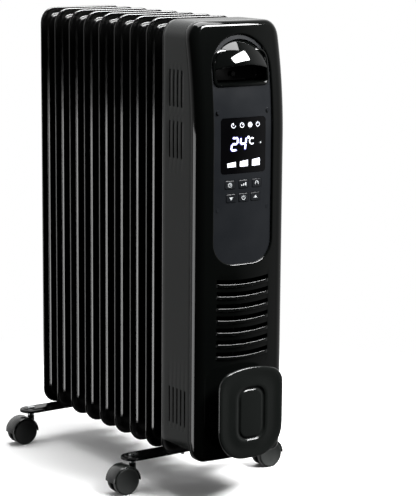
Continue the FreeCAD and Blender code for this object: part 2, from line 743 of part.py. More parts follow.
def make_heat_shield():
    """Folded sheet between the hot first fin and the electronics."""
    back = -d.boss_depth / 2
    thick = d.shield_thick
    half = d.fin_width / 2 - d.sheet_wall
    fold_deep = 14
    round_flange = d.flange_radius + 1.3
    holes = [(0, d.header_low, round_flange), (0, d.header_high, round_flange),
             (0, d.cutout_z, d.cutout_radius + 4)]
    web = prism("shield_web", rounded(-half, half, 66, 612, 20), back, back - thick, holes)
    folds = [
        block(f"shield_fold_{side}", half * side - (thick if side > 0 else 0), back - fold_deep,
              90, thick, fold_deep, 480)
        for side in (-1, 1)
    ]
    keep(fuse("shield", web, *folds), "heat_shield")


def make_power_board():
    """Relay board on four spacers in front of the heat shield."""
    back = -d.boss_depth / 2 - d.shield_thick
    spacers = [
        rod(f"spacer_{x}_{z}", "Y", x, back - d.spacer_high, z, 3, d.spacer_high)
        for x in (-40, 40) for z in (330, 372)
    ]
    front = back - d.spacer_high - d.board_thick
    relay_high, terminal_high = 15.4, 11.4
    board = block("power_sheet", -46, front, 322, 92, d.board_thick, 58)
    relays = [
        block(f"relay_{x}", x, front - relay_high, 336, 16, relay_high, 20) for x in (-34, -8)
    ]
    terminal = block("terminal_block", 16, front - terminal_high, 330, 24, terminal_high, 14)
    keep(group("power", spacers + [board] + relays + [terminal]), "power_board")


def make_tilt_switch():
    """Sealed switch that opens if the heater falls over."""
    back = -d.boss_depth / 2 - d.shield_thick
    foot, deep, high = 150, 16, 26
    case = block("tilt_case", -52, back - deep, foot, 20, deep, high)
    pins = [
        block(f"tilt_pin_{x}", x, back - deep / 2, foot + high, 1, 4, 7) for x in (-47, -38)
    ]
    keep(fuse("tilt", case, *pins), "tilt_switch")


def wire(name, points, radius, bend):
    """Round wire along straight runs joined by tangent arcs."""
    corners = [Vector(*point) for point in points]
    edges, start = [], corners[0]
    for before, corner, after in zip(corners, corners[1:], corners[2:]):
        into = (corner - before).normalize()
        out = (after - corner).normalize()
        reach = bend * math.tan(into.getAngle(out) / 2)
        entry, leave = corner - into * reach, corner + out * reach
        inward = (out - into).normalize()
        centre_gap = bend / math.cos(into.getAngle(out) / 2)
        middle = corner + inward * (centre_gap - bend)
        edges += [Part.LineSegment(start, entry).toShape(),
                  Part.Arc(entry, middle, leave).toShape()]
        start = leave
    edges.append(Part.LineSegment(start, corners[-1]).toShape())
    path = Part.Wire(edges)
    circle_edge = Part.Circle(corners[0], corners[1] - corners[0], radius).toShape()
    solid = doc.addObject("Part::Feature", name)
    solid.Shape = path.makePipeShell([Part.Wire([circle_edge])], True, False)
    return solid


def make_element_leads():
    """Insulated wires from the power board down to the heating elements."""
    leg = DIMENSIONS["element_leg"]
    low = DIMENSIONS["header_low"]
    wires = []
    for index, (x, z, top_x) in enumerate(((-leg, low - leg, 21), (leg, low + leg, 28),
                                           (-leg, low + leg, 35))):
        out = -34 - 5 * index
        wires.append(wire(f"lead_{index}", [
            (x, -26.1, z), (x, out, z), (top_x, out, z + 60), (top_x, out, 296),
            (top_x, -30, 306), (top_x, -30, 329.9)], 1.1, 3.5))
    keep(group("leads", wires), "element_leads")


def make_cord_gland():
    """Bush where the supply cord passes through the casing's right-hand side."""
    outer, y, z = d.fin_width / 2, d.gland_y, d.gland_z
    flange = rod("gland_flange", "X", outer, y, z, d.gland_rim, d.gland_rim_thick)
    barrel = rod("gland_barrel", "X", outer - d.gland_deep, y, z, d.gland_radius, d.gland_deep)
    nut_x = outer - d.gland_nut_thick - 3
    nut = ring("gland_nut", "X", nut_x, y, z, d.gland_rim, d.gland_radius, d.gland_nut_thick)
    bore = rod("gland_bore", "X", outer - 20, y, z, d.cord_radius, 30)
    keep(cut("gland", fuse("gland", flange, barrel, nut), bore), "cord_gland")


# ---- cord winder ----------------------------------------------------------------------------

def plate_outline():
    """Shield with round lower corners; its upper corners run smoothly into an arched top."""
    half, low, high = d.plate_half, d.plate_bottom, d.plate_top
    foot, head, arch = d.plate_foot, d.plate_head, d.plate_arch
    corner_x = half - head
    centre_z = high - arch
    rise = root((arch - head) * (arch - head) - corner_x * corner_x)
    join_x = corner_x * arch / (arch - head)
    join_z = centre_z + rise * arch / (arch - head)
    return [(-half + foot, low), (half - foot, low, foot), (half, low + foot),
            (half, centre_z + rise, head), (join_x, join_z, arch), (-join_x, join_z, head),
            (-half, centre_z + rise), (-half, low + foot, foot)]


def make_winder():
    """Hollow post with a shield-shaped plate in front. The cord is wound round the post."""
    low, high = d.post_low, d.post_high
    back = d.plate_front_y + d.plate_thick
    plate = prism("winder_blank", plate_outline(), back, d.plate_front_y)
    recess = prism("winder_recess", post_outline(-1), d.plate_front_y + d.recess_depth,
                   d.plate_front_y - 1)
    inset = d.winder_screw_inset
    screw_holes = [(0, low + inset, d.screw_hole), (0, high - inset, d.screw_hole)]
    drilled = [rod(f"winder_screw_{index}", "Y", x, -110, z, radius, 20)
               for index, (x, z, radius) in enumerate(screw_holes)]
    keep(cut("winder", plate, recess, *drilled), "winder_plate")
    tube = prism("post_tube", post_outline(), d.seat_y, back, screw_holes)
    hollow = prism("post_hollow", rounded(-19, 19, low + 18, high - 18, 10), d.seat_y + 1,
                   back + 3)
    keep(cut("post", tube, hollow), "winder_post")


# ---- fasteners ------------------------------------------------------------------------------

def screw(name, y, z, length):
    """Pan-head screw that points backwards (+Y); y is under its head."""
    high = d.screw_head_high
    return fuse(name, rod(f"{name}_head", "Y", 0, y - high, z, d.screw_head, high),
                rod(f"{name}_shank", "Y", 0, y, z, d.screw_shank, length))


def make_case_screws():
    plate_floor = d.plate_front_y + d.recess_depth
    inset = d.winder_screw_inset
    screws = [
        screw("grip_screw", d.grip_floor_y - d.grip_wall - 2, d.grip_screw_z, 8),
        screw("winder_low_screw", plate_floor, d.post_low + inset, 15),
        screw("winder_high_screw", plate_floor, d.post_high - inset, 15),
    ]
    keep(group("screws", screws), "case_screws")


def make_foot_bracket(node, y):
    """Pressed plate with rounded ends, a rim turned down, and ledges for the fins."""
    reach = d.stem_x + d.foot_half
    half = d.foot_half
    top, thick = d.foot_top, d.foot_sheet

    def track(shrink):
        end, side = reach - shrink, half - shrink
        straight = end - side
        return [(-straight, -side), (straight, -side, side), (end, 0, side),
                (straight, side), (-straight, side, side), (-end, 0, side)]

    stem_neck = d.neck_radius + d.fit
    leg_hole = d.u_bolt_rod / 2 + 0.3
    outer = slab(f"{node}_outer", track(size(0)), top - d.foot_rim, top)
    inner = slab(f"{node}_inner", track(thick), top - d.foot_rim - 1, top - thick)
    ledges = [
        block(f"{node}_ledge_{side}", -50, d.foot_half * side - (1 if side > 0 else 9),
              d.fin_bottom - thick, 100, 10, thick)
        for side in (-1, 1)
    ]
    holes = [rod(f"{node}_stem_hole_{s}", "Z", d.stem_x * s, 0, 40, stem_neck, 20)
             for s in (-1, 1)]
    holes += [rod(f"{node}_bolt_hole_{s}", "Z", d.u_bolt_bend * s, 0, 40, leg_hole, 20)
              for s in (-1, 1)]
    keep(cut(node, fuse(node, cut(f"{node}_tray", outer, inner), *ledges), *holes), node,
         d.case_rear_y + y)


def make_u_bolts():
    """Rods bent over the lower header collar; their ends pass through the foot bracket."""
    bolts, nuts = [], []
    for name, y in (("front", d.foot_front_y), ("rear", d.foot_rear_y)):
        body = new_body(f"u_bolt_{name}")
        spine = sketch_on(body, f"u_bolt_{name}_spine", "XZ_Plane", -y)
        bend, start, top = d.u_bolt_bend, size(39), d.header_low
        spine.addGeometry(Part.LineSegment(
            Vector(bend.value, start.value, 0), Vector(bend.value, top.value, 0)))
        arch = Part.Circle(Vector(0, top.value, 0), Vector(0, 0, 1), bend.value)
        spine.addGeometry(Part.ArcOfCircle(arch, 0, math.pi))
        spine.addGeometry(Part.LineSegment(
            Vector(-bend.value, top.value, 0), Vector(-bend.value, start.value, 0)))
        spine.addConstraint(Sketcher.Constraint("Coincident", 0, 2, 1, 1))
        spine.addConstraint(Sketcher.Constraint("Coincident", 1, 2, 2, 1))
        for index, position, x, z in ((0, 1, bend, start), (0, 2, bend, top), (1, 3, 0, top),
                                      (2, 2, -bend, start)):
            datum(spine, "DistanceX", -1, 1, index, position, x)
            datum(spine, "DistanceY", -1, 1, index, position, z)
        section = sketch_on(body, f"u_bolt_{name}_section", "XY_Plane", start)
        circle(section, bend, y, d.u_bolt_rod / 2)
        tube = body.newObject("PartDesign::AdditivePipe", f"u_bolt_{name}_rod")
        tube.Profile, tube.Spine = section, spine
        bolts.append(body)
        for side in (-1, 1):
            x = d.u_bolt_bend * side
            label = f"wing_{name}_{side}"
            hub = rod(f"{label}_hub", "Z", x, y, 42.5, 5, 7)
            wings = block(f"{label}_wings", x - 11, y - 1, 43, 22, 2, 6)
            bore = rod(f"{label}_bore", "Z", x, y, 40, d.u_bolt_rod / 2 + d.fit, 12)
            nuts.append(cut(label, fuse(label, hub, wings), bore))
    keep(group("u_bolt_pair", bolts), "u_bolts")
    keep(group("wing_nut_set", nuts), "wing_nuts")


# ---- casters --------------------------------------------------------------------------------

CASTERS = {
    "front_left": (-1, "foot_front_y", 0), "front_right": (1, "foot_front_y", 180),
    "rear_left": (-1, "foot_rear_y", 0), "rear_right": (1, "foot_rear_y", 180),
}


def make_caster_stems():
    """Riveted stems: a rivet head on the bracket, a thick collar below it, a swivel pin."""
    under = d.foot_top - d.foot_sheet
    shoulder = d.socket_top + 0.3
    stems = []
    for name, (side, foot, _) in CASTERS.items():
        x, y = d.stem_x * side, getattr(d, foot)
        stems.append(fuse(
            f"stem_{name}",
            rod(f"stem_{name}_pin", "Z", x, y, d.pin_low, d.pin_radius, shoulder - d.pin_low),
            rod(f"stem_{name}_collar", "Z", x, y, shoulder, d.stem_radius, under - shoulder),
            rod(f"stem_{name}_neck", "Z", x, y, under, d.neck_radius, d.foot_sheet),
            rod(f"stem_{name}_head", "Z", x, y, d.foot_top, 5.5, 1.5)))
    keep(group("stems", stems), "caster_stems")


def make_hood(name):
    """Hood of a twin-wheel caster: a half-round fender, a web between the wheels, and the
    socket of the swivel pin. The stem is at x = 0 and the axle trails towards -X."""
    axle_x, axle_z = -d.trail, d.wheel_radius
    half = d.hood_half
    fender = ring(f"{name}_fender", "Y", axle_x, -half, axle_z, d.hood_outer, d.hood_inner,
                  half * 2)
    below = block(f"{name}_below", -60, -20, -20, 80, 40, d.wheel_radius + 20)
    upper = cut(f"{name}_upper", fender, below)
    web_half = d.web_wide / 2
    web = rod(f"{name}_web", "Y", axle_x, -web_half, axle_z, d.hood_inner + 0.5, d.web_wide)
    foot = rod(f"{name}_hub", "Y", axle_x, -web_half, axle_z, d.web_hub, d.web_wide)
    web_upper = cut(f"{name}_web_upper", web, block(f"{name}_web_below", -60, -20, -20, 80, 40,
                                                    d.wheel_radius + 20))
    socket = cut(f"{name}_socket", rod(f"{name}_socket_post", "Z", 0, 0, 30, 4.7,
                                       d.socket_top - 30),
                 rod(f"{name}_wheel_room", "Y", axle_x, -half, axle_z, d.hood_inner, half * 2))
    bore = rod(f"{name}_bore", "Z", 0, 0, 24, d.pin_radius + d.fit, 20)
    axle_bore = rod(f"{name}_axle_bore", "Y", axle_x, -10, axle_z, d.axle_radius, 20)
    return cut(f"{name}_hood", fuse(f"{name}_body", upper, web_upper, foot, socket), bore,
               axle_bore)


def make_wheel(name, side):
    """Cup-shaped wheel: closed outer face, rim, and a blind hub bore on the inner side."""
    inner = d.web_wide / 2 + d.side_gap
    wide = d.wheel_wide
    start = inner if side > 0 else -inner - wide
    disc = rod(f"{name}_disc", "Y", -d.trail, start, d.wheel_radius, d.wheel_radius, wide)
    deep = wide - d.wheel_face
    open_start = inner if side > 0 else -inner - deep
    hollow = ring(f"{name}_hollow", "Y", -d.trail, open_start, d.wheel_radius, d.wheel_hollow,
                  d.wheel_hub, deep)
    bore_deep = wide - 1
    bore_start = inner if side > 0 else -inner - bore_deep
    bore = rod(f"{name}_bore", "Y", -d.trail, bore_start, d.wheel_radius, d.axle_radius + d.fit,
               bore_deep)
    return cut(name, disc, hollow, bore)


def make_casters():
    half_axle = d.web_wide / 2 + d.side_gap + d.wheel_wide - 1.3
    for name, (side, foot, turn) in CASTERS.items():
        pieces = {
            f"caster_hood_{name}": make_hood(f"hood_{name}"),
            f"caster_axle_{name}": rod(f"axle_{name}", "Y", -d.trail, -half_axle,
                                       d.wheel_radius, d.axle_radius, half_axle * 2),
            f"caster_wheel_{name}_a": make_wheel(f"wheel_{name}_a", -1),
            f"caster_wheel_{name}_b": make_wheel(f"wheel_{name}_b", 1),
        }
        for node, solid in pieces.items():
            whole = group(f"{node}_piece", [solid])
            whole.Label = node
            place(whole, d.stem_x * side, d.case_rear_y + getattr(d, foot), 0, turn)
            nodes.append(whole)


def build():
    for number in FIN_NUMBERS:
        make_fin(number)
    make_collars()
    make_header_ends()
    make_elements()
    make_element_seat()
    make_thermal_cutout()
    make_heat_shield()
    make_side_casing()
    make_front_fascia()
    make_control_strip()
    make_pull_handle()
    make_display()
    for node, (x, z) in KEY_PLACES.items():
        make_key(node, x, z)
    make_control_board()
    make_power_board()
    make_tilt_switch()
    make_element_leads()
    make_cord_gland()
    make_winder()
    make_case_screws()
    make_foot_bracket("foot_bracket_front", d.foot_front_y)
    make_foot_bracket("foot_bracket_rear", d.foot_rear_y)
    make_u_bolts()
    make_caster_stems()
    make_casters()


def export():
    doc.recompute()
    for thing in doc.Objects:
        if "Invalid" in thing.State or "Error" in thing.State:
            raise RuntimeError(f"{thing.Name} ({thing.Label}) failed: {thing.State}")
    os.makedirs("parts", exist_ok=True)
    for thing in nodes:
        shape = thing.Shape
        if shape.isNull() or not shape.isValid() or not shape.Solids:
            raise RuntimeError(f"{thing.Label} has no valid solid")
        shape.exportStep(f"parts/{thing.Label}.step")
        print(f"{thing.Label}: {len(shape.Solids)} solid(s), {shape.Volume / 1000:.2f} cm3")


build()
export()
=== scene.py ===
"""Oil filled radiator heater: the visible model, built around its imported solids."""
import json
import math

import bmesh
import bpy
from mathutils import Matrix, Vector


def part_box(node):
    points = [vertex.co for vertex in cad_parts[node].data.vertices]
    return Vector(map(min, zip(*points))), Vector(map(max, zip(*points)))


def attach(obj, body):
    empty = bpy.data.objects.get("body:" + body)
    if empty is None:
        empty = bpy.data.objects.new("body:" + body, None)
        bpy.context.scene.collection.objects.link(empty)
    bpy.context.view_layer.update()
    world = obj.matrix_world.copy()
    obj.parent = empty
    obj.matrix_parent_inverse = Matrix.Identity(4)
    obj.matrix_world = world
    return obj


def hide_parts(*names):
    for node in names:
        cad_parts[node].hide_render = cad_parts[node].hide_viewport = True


bl_info = {
    "name": "Oil filled radiator heater",
    "version": (1, 0, 0),
    "blender": (4, 5, 0),
    "location": "3D View > Sidebar > Radiator",
    "description": "Pressed fins, casing, control panel, cord winder and casters of a heater",
    "category": "Add Mesh",
}

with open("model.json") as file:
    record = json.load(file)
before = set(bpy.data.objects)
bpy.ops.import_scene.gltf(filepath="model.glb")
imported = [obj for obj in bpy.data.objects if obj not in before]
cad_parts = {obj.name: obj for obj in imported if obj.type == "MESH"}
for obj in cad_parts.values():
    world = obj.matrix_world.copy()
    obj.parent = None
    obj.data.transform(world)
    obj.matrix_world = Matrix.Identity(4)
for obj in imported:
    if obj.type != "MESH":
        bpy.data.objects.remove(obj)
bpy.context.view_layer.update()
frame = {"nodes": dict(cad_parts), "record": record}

MM = 0.001
ROOT = "heater"
FINS = [f"fin_{number}" for number in range(1, 10)]
CASTERS = ("front_left", "front_right", "rear_left", "rear_right")


def box_mm(node):
    """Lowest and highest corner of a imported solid, in millimetres."""
    return tuple(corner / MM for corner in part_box(node))


def middle(node):
    low, high = box_mm(node)
    return (low + high) / 2


# Every depth below is measured from the plane of the first fin, as on the drawing of the casing.
REAR_Y = middle("fin_1").y
FIN_PITCH = middle("fin_2").y - REAR_Y
HALF = box_mm("fin_1")[1].x
LOW, TOP = box_mm("fin_1")[0].z, box_mm("fin_1")[1].z

CASE_BOTTOM, SIDE_BOTTOM = 58, 73
CASE_CORNER, FOOT_CORNER = 22, 15
SEAM_Y, SEAM_GAP = -67, 0.3
EDGE_ROUND, CROWN = 15.2, 400
LEAN_START, LEAN_ROUND = 475, 600
EDGE_X, EDGE_Y = HALF - EDGE_ROUND, SEAM_Y - EDGE_ROUND
STRIP_DEPTH = 2.55
STRIP_HALF, STRIP_LOW, STRIP_SHOULDER, STRIP_FOOT = 45, 317, 566, 30
VENT_HALF, VENT_TOP, VENT_PITCH, VENT_BOW = 40.6, 289.5, 15.9, 306
RIB_HIGH, RIB_PROUD, VENT_OPEN, VENTS = 4.2, 1.6, 5.4, 7
VENT_HEAD = 308
RIM_ARC, RIM_ACROSS = 6, 18
GRIP_HALF, GRIP_LOW, GRIP_SHOULDER, GRIP_FLOOR = 42, 547, 563, -52
DOME_ROUND, DOME_Z, DOME_FRONT = 75, 548, -92
FIN_CORNER, BAND, PANEL = 22, 9, 4.5
CHANNELS, HEADERS = (-34, 0, 34), (93, 583)
BRACKET_HALF = 16
CAMERA_TURN, CAMERA_RISE, CAMERA_ROLL = -34.25, 10.45, 0.46
CAMERA_AT = (-1.366467, -2.1225, 0.772319)
CAMERA_LENS, CAMERA_FILM = 135.04, 36


# ---- colours and finishes -------------------------------------------------------------------

def linear(code):
    """Linear colour of an sRGB hex value."""
    parts = [int(code[i:i + 2], 16) / 255 for i in (1, 3, 5)]
    return [v / 12.92 if v <= 0.04045 else ((v + 0.055) / 1.055) ** 2.4 for v in parts]


def add_node(tree, kind, inputs=None, **settings):
    """Add a node with its settings; an input takes a value or another node's output."""
    made = tree.nodes.new(kind)
    for key, value in settings.items():
        setattr(made, key, value)
    for key, value in (inputs or {}).items():
        if isinstance(value, bpy.types.NodeSocket):
            tree.links.new(value, made.inputs[key])
        else:
            made.inputs[key].default_value = value
    return made


def noise(tree, where, scale, detail=2.0):
    return add_node(tree, "ShaderNodeTexNoise", {
        "Vector": where, "Scale": scale, "Detail": detail}).outputs["Fac"]


def remap(tree, value, start, end, low, high, ease="LINEAR"):
    """Bring a value from start...end to low...high."""
    return add_node(tree, "ShaderNodeMapRange", {
        "Value": value, "From Min": start, "From Max": end, "To Min": low, "To Max": high},
        interpolation_type=ease).outputs["Result"]


def principled(tree, inputs):
    surface = add_node(tree, "ShaderNodeBsdfPrincipled", inputs)
    add_node(tree, "ShaderNodeOutputMaterial", {"Surface": surface.outputs["BSDF"]})


def new_tree(name):
    made = bpy.data.materials.new(name)
    made.use_nodes = True
    made.node_tree.nodes.clear()
    return made, made.node_tree


def finish(name, colour, worn, rough, spread, cloud_mm, grain_mm, grain_depth_mm, **shader):
    """A surface whose colour and gloss drift over cloud_mm, with a fine grain on it."""
    if name in bpy.data.materials:
        return bpy.data.materials[name]
    made, tree = new_tree(name)
    where = add_node(tree, "ShaderNodeTexCoord").outputs["Object"]
    cloud = noise(tree, where, 1 / (cloud_mm * MM), 3.0)
    tint = add_node(tree, "ShaderNodeMix", {
        0: cloud, 6: (*linear(colour), 1), 7: (*linear(worn), 1)},
        data_type="RGBA").outputs[2]
    grain = noise(tree, where, 1 / (grain_mm * MM))
    relief = add_node(tree, "ShaderNodeBump", {
        "Height": grain, "Strength": 1.0, "Distance": grain_depth_mm * MM}).outputs["Normal"]
    principled(tree, {
        "Base Color": tint, "Normal": relief,
        "Roughness": remap(tree, cloud, 0.35, 0.65, rough - spread, rough + spread),
        **{key.replace("_", " "): value for key, value in shader.items()}})
    return made


def lit(name, colour, strength):
    """A lit sign behind the window: an even colour with the faint dots of its lamp layer."""
    if name in bpy.data.materials:
        return bpy.data.materials[name]
    made, tree = new_tree(name)
    where = add_node(tree, "ShaderNodeTexCoord").outputs["Object"]
    dots = noise(tree, where, 1 / (4 * MM))
    principled(tree, {
        "Base Color": (*colour, 1), "Roughness": 0.3, "Emission Color": (*colour, 1),
        "Emission Strength": remap(tree, dots, 0, 1, strength * 0.85, strength * 1.15)})
    return made


METAL = {"Metallic": 1.0}
FINISHES = {
    # gloss stoving enamel over pressed steel: deep black with a slight orange peel
    "fin_enamel": ("gloss stoving enamel", "#020202", "#040404", 0.13, 0.03, 60, 3, 0.002,
                   {"Specular_IOR_Level": 0.9}),
    # the same enamel on the foot brackets, also put on the galvanised heat shield as painted shade
    "bracket_enamel": ("gloss bracket enamel", "#040404", "#060606", 0.12, 0.03, 40, 3, 0.002,
                       {"Specular_IOR_Level": 0.15}),
    # satin powder coat on sheet steel: soft charcoal, fine peel drawn at 2.5 mm to show
    "casing_enamel": ("satin powder coat", "#1e201f", "#212322", 0.25, 0.03, 90, 2.5, 0.004,
                      {"Specular_IOR_Level": 0.2}),
    # polished ABS: black, mirror smooth, with faint handling marks
    "fascia_gloss": ("polished black ABS", "#050606", "#070807", 0.07, 0.02, 70, 6, 0.001,
                     {"Specular_IOR_Level": 0.4}),
    "handle_gloss": ("polished handle ABS", "#050606", "#070807", 0.05, 0.015, 30, 6, 0.001,
                     {"Specular_IOR_Level": 0.6}),
    # satin ABS with a blue cast
    "strip_satin": ("satin blue-black ABS", "#15171a", "#17191c", 0.33, 0.04, 40, 1.6, 0.004,
                    {"Specular_IOR_Level": 0.35}),
    # fine spark-eroded grain
    "winder_satin": ("fine-grained ABS", "#131514", "#161817", 0.16, 0.03, 40, 1.6, 0.003, {}),
    # smoked acrylic: nearly black, polished
    "lens_acrylic": ("smoked acrylic", "#030304", "#050506", 0.05, 0.015, 30, 8, 0.001, {}),
    "module_plastic": ("white polystyrene", "#d8d8d2", "#cfcfc8", 0.45, 0.04, 20, 1.5, 0.004, {}),
    "key_plastic": ("satin key ABS", "#111316", "#131518", 0.33, 0.04, 12, 1.4, 0.004, {}),
    # solder resist over woven glass
    "board_laminate": ("solder resist", "#0e4420", "#12502a", 0.35, 0.06, 6, 0.8, 0.004, {}),
    # satin nylon, a little lighter where it was ejected
    "caster_hood_plastic": ("satin nylon", "#1b1d1c", "#1e201f", 0.25, 0.04, 12, 1.5, 0.004, {}),
    "caster_wheel_plastic": ("moulded nylon", "#2b2d2c", "#2f3130", 0.5, 0.05, 10, 1.2, 0.006, {}),
    # zinc plating: bright, slightly cloudy
    "plated_steel": ("zinc plating", "#b9bbbc", "#a9abad", 0.28, 0.06, 6, 0.8, 0.004, METAL),
    "element_sheath": ("drawn steel sheath", "#a6a29a", "#8f8b84", 0.34, 0.06, 8, 0.8, 0.004,
                       METAL),
    "flange_brass": ("machined brass", "#d0a85c", "#b88f48", 0.3, 0.06, 8, 0.8, 0.004, METAL),
    "gasket_rubber": ("pressed gasket sheet", "#1b1b1b", "#202020", 0.7, 0.06, 8, 1, 0.01, {}),
    "lead_rubber": ("silicone rubber", "#151515", "#1a1a1a", 0.55, 0.06, 8, 1, 0.006, {}),
    # galvanised sheet: spangle drawn at 8 mm
    "bare_sheet": ("galvanised sheet", "#9ea2a4", "#868a8d", 0.42, 0.1, 8, 2, 0.004, METAL),
    "switch_plastic": ("phenolic resin", "#1d1a18", "#231f1c", 0.45, 0.05, 10, 1.2, 0.005, {}),
    # black zinc, for the casing screws
    "black_zinc": ("black zinc plating", "#040404", "#070707", 0.3, 0.05, 4, 0.8, 0.004, {}),
    # screen-printed signs
    "printed_sign": ("screen-printed ink", "#c9ccce", "#bcc0c2", 0.5, 0.05, 4, 0.8, 0.002, {}),
}


# The casing screws take black zinc. The heat shield, bare sheet in the record, is painted in black
# bracket enamel as painted shade, so the vents and the gap under the casing read dark.
REFINISH_AND_PAINTED_SHADE = {"case_screws": "black_zinc", "heat_shield": "bracket_enamel"}


def finish_named(name):
    *values, shader = FINISHES[name]
    return finish(*values, **shader)


# ---- meshes ---------------------------------------------------------------------------------

def loft(rings, closed=True, first_cap=False, last_cap=False):
    """Quads between rings of equally many points, with flat caps where asked."""
    count = len(rings[0])
    span = count if closed else count - 1
    points = [point for ring in rings for point in ring]
    faces = []
    for row in range(len(rings) - 1):
        for i in range(span):
            j = (i + 1) % count
            faces.append((row * count + i, row * count + j,
                          (row + 1) * count + j, (row + 1) * count + i))
    if first_cap:
        faces.append(tuple(range(count)))
    if last_cap:
        faces.append(tuple((len(rings) - 1) * count + i for i in range(count)))
    return points, faces


def mesh_of(name, parts, inside=None, merge=0.0005, sharp=38):
    """One mesh from several (points, faces) parts in millimetres. The faces of an open sheet
    are turned away from the point inside it."""
    made = bmesh.new()
    for points, faces in parts:
        corners = [made.verts.new(Vector(point) * MM) for point in points]
        for face in faces:
            made.faces.new([corners[i] for i in face])
    bmesh.ops.remove_doubles(made, verts=made.verts, dist=merge * MM)
    bmesh.ops.dissolve_degenerate(made, dist=merge * MM, edges=made.edges)
    bmesh.ops.recalc_face_normals(made, faces=made.faces)
    if inside is not None:
        centre = Vector(inside) * MM
        outward = sum(f.calc_area() * f.normal.dot(f.calc_center_median() - centre)
                      for f in made.faces)
        if outward < 0:
            bmesh.ops.reverse_faces(made, faces=made.faces)
    mesh = bpy.data.meshes.new(name)
    made.to_mesh(mesh)
    made.free()
    smooth(mesh, sharp)
    return mesh


def smooth(mesh, sharp):
    mesh.shade_smooth()
    mesh.set_sharp_from_angle(angle=math.radians(sharp))


def shown(name, mesh, material, body=ROOT, nodes=(), wall=0, edge=0, weighted=False,
          sharp=38):
    """A finished piece: sheet thickness and rounded edges are applied, then it is placed."""
    piece = bpy.data.objects.new(name, mesh)
    bpy.context.scene.collection.objects.link(piece)
    piece.data.materials.clear()
    piece.data.materials.append(material)
    if wall:
        skin = piece.modifiers.new("wall", "SOLIDIFY")
        skin.thickness, skin.offset, skin.use_even_offset = wall * MM, -1, True
    if edge:
        rounding = piece.modifiers.new("edge", "BEVEL")
        rounding.width, rounding.segments = edge * MM, 2
        rounding.limit_method, rounding.angle_limit = "ANGLE", math.radians(50)
        rounding.use_clamp_overlap = True
    if weighted:
        piece.modifiers.new("normals", "WEIGHTED_NORMAL")
    if piece.modifiers:
        plain(piece)
        if not weighted:
            smooth(piece.data, sharp)
    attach(piece, body)
    if nodes:
        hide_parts(*nodes)
    return piece


def plain(piece):
    """Turn the evaluated result into the piece's own mesh and drop its modifiers."""
    state = bpy.context.evaluated_depsgraph_get()
    result = bpy.data.meshes.new_from_object(piece.evaluated_get(state))
    piece.modifiers.clear()
    old, piece.data = piece.data, result
    result.name = old.name
    bpy.data.meshes.remove(old)


def repeat_tree(name, material):
    """Geometry nodes that set copies of a part along a line."""
    tree = bpy.data.node_groups.new(name, "GeometryNodeTree")
    face = tree.interface
    face.new_socket("Geometry", in_out="INPUT", socket_type="NodeSocketGeometry")
    for label, kind in (("Count", "NodeSocketInt"), ("Start", "NodeSocketVector"),
                        ("Step", "NodeSocketVector")):
        face.new_socket(label, in_out="INPUT", socket_type=kind)
    face.new_socket("Geometry", in_out="OUTPUT", socket_type="NodeSocketGeometry")
    given = add_node(tree, "NodeGroupInput").outputs
    line = add_node(tree, "GeometryNodeMeshLine", {
        "Count": given["Count"], "Start Location": given["Start"], "Offset": given["Step"]},
        mode="OFFSET")
    copies = add_node(tree, "GeometryNodeInstanceOnPoints", {
        "Points": line.outputs["Mesh"], "Instance": given["Geometry"]})
    real = add_node(tree, "GeometryNodeRealizeInstances", {
        "Geometry": copies.outputs["Instances"]})
    painted = add_node(tree, "GeometryNodeSetMaterial", {
        "Geometry": real.outputs["Geometry"], "Material": material})
    add_node(tree, "NodeGroupOutput", {"Geometry": painted.outputs["Geometry"]})
    return tree


def repeated(name, mesh, material, count, start, step):
    """Mesh of several copies of one part, made by geometry nodes."""
    master = bpy.data.objects.new(name, mesh)
    bpy.context.scene.collection.objects.link(master)
    rows = master.modifiers.new("rows", "NODES")
    rows.node_group = repeat_tree(f"{name}_rows", material)
    sockets = {item.name: item.identifier for item in rows.node_group.interface.items_tree
               if item.in_out == "INPUT"}
    rows[sockets["Count"]] = count
    rows[sockets["Start"]] = [value * MM for value in start]
    rows[sockets["Step"]] = [value * MM for value in step]
    plain(master)
    result = master.data
    bpy.data.objects.remove(master)
    return result


def outline(corners, fine=8):
    """Points of a closed outline. A corner is (x, z), or (x, z, radius) when an arc leaves it:
    to the left of its chord when the radius is positive, to the right when it is negative."""
    points = []
    for index, corner in enumerate(corners):
        start = Vector(corner[:2])
        end = Vector(corners[(index + 1) % len(corners)][:2])
        points.append(tuple(start))
        if len(corner) == 2:
            continue
        radius, side = abs(corner[2]), math.copysign(1, corner[2])
        chord = end - start
        rise = math.sqrt(max(radius ** 2 - (chord.length / 2) ** 2, 0))
        centre = (start + end) / 2 + Vector((-chord.y, chord.x)).normalized() * rise * side
        first, last = start - centre, end - centre
        sweep = math.atan2(first.x * last.y - first.y * last.x, first.dot(last))
        for step in range(1, fine):
            turn = Matrix.Rotation(sweep * step / fine, 2)
            points.append(tuple(centre + turn @ first))
    return points


def by_angle(points, centre, count):
    """The outline's points at equal angles round a centre that sees all of it."""
    result = []
    centre = Vector(centre)
    edges = [(Vector(a) - centre, Vector(b) - centre)
             for a, b in zip(points, points[1:] + points[:1])]
    for k in range(count):
        angle = 2 * math.pi * k / count
        ray = Vector((math.cos(angle), math.sin(angle)))
        best = None
        for a, b in edges:
            along = b - a
            across = ray.x * along.y - ray.y * along.x
            if abs(across) < 1e-12:
                continue
            reach = (a.x * along.y - a.y * along.x) / across
            part = (a.x * ray.y - a.y * ray.x) / across
            if reach > 0 and -1e-9 <= part <= 1 + 1e-9:
                best = max(best or 0, reach)
        result.append(tuple(centre + ray * best))
    return result


def grown(loop, amount):
    """An anticlockwise loop moved outwards by amount."""
    result = []
    for before, point, after in zip(loop[-1:] + loop[:-1], loop, loop[1:] + loop[:1]):
        along = Vector(after) - Vector(before)
        normal = Vector((along.y, -along.x)).normalized()
        result.append(tuple(Vector(point) + normal * amount))
    return result


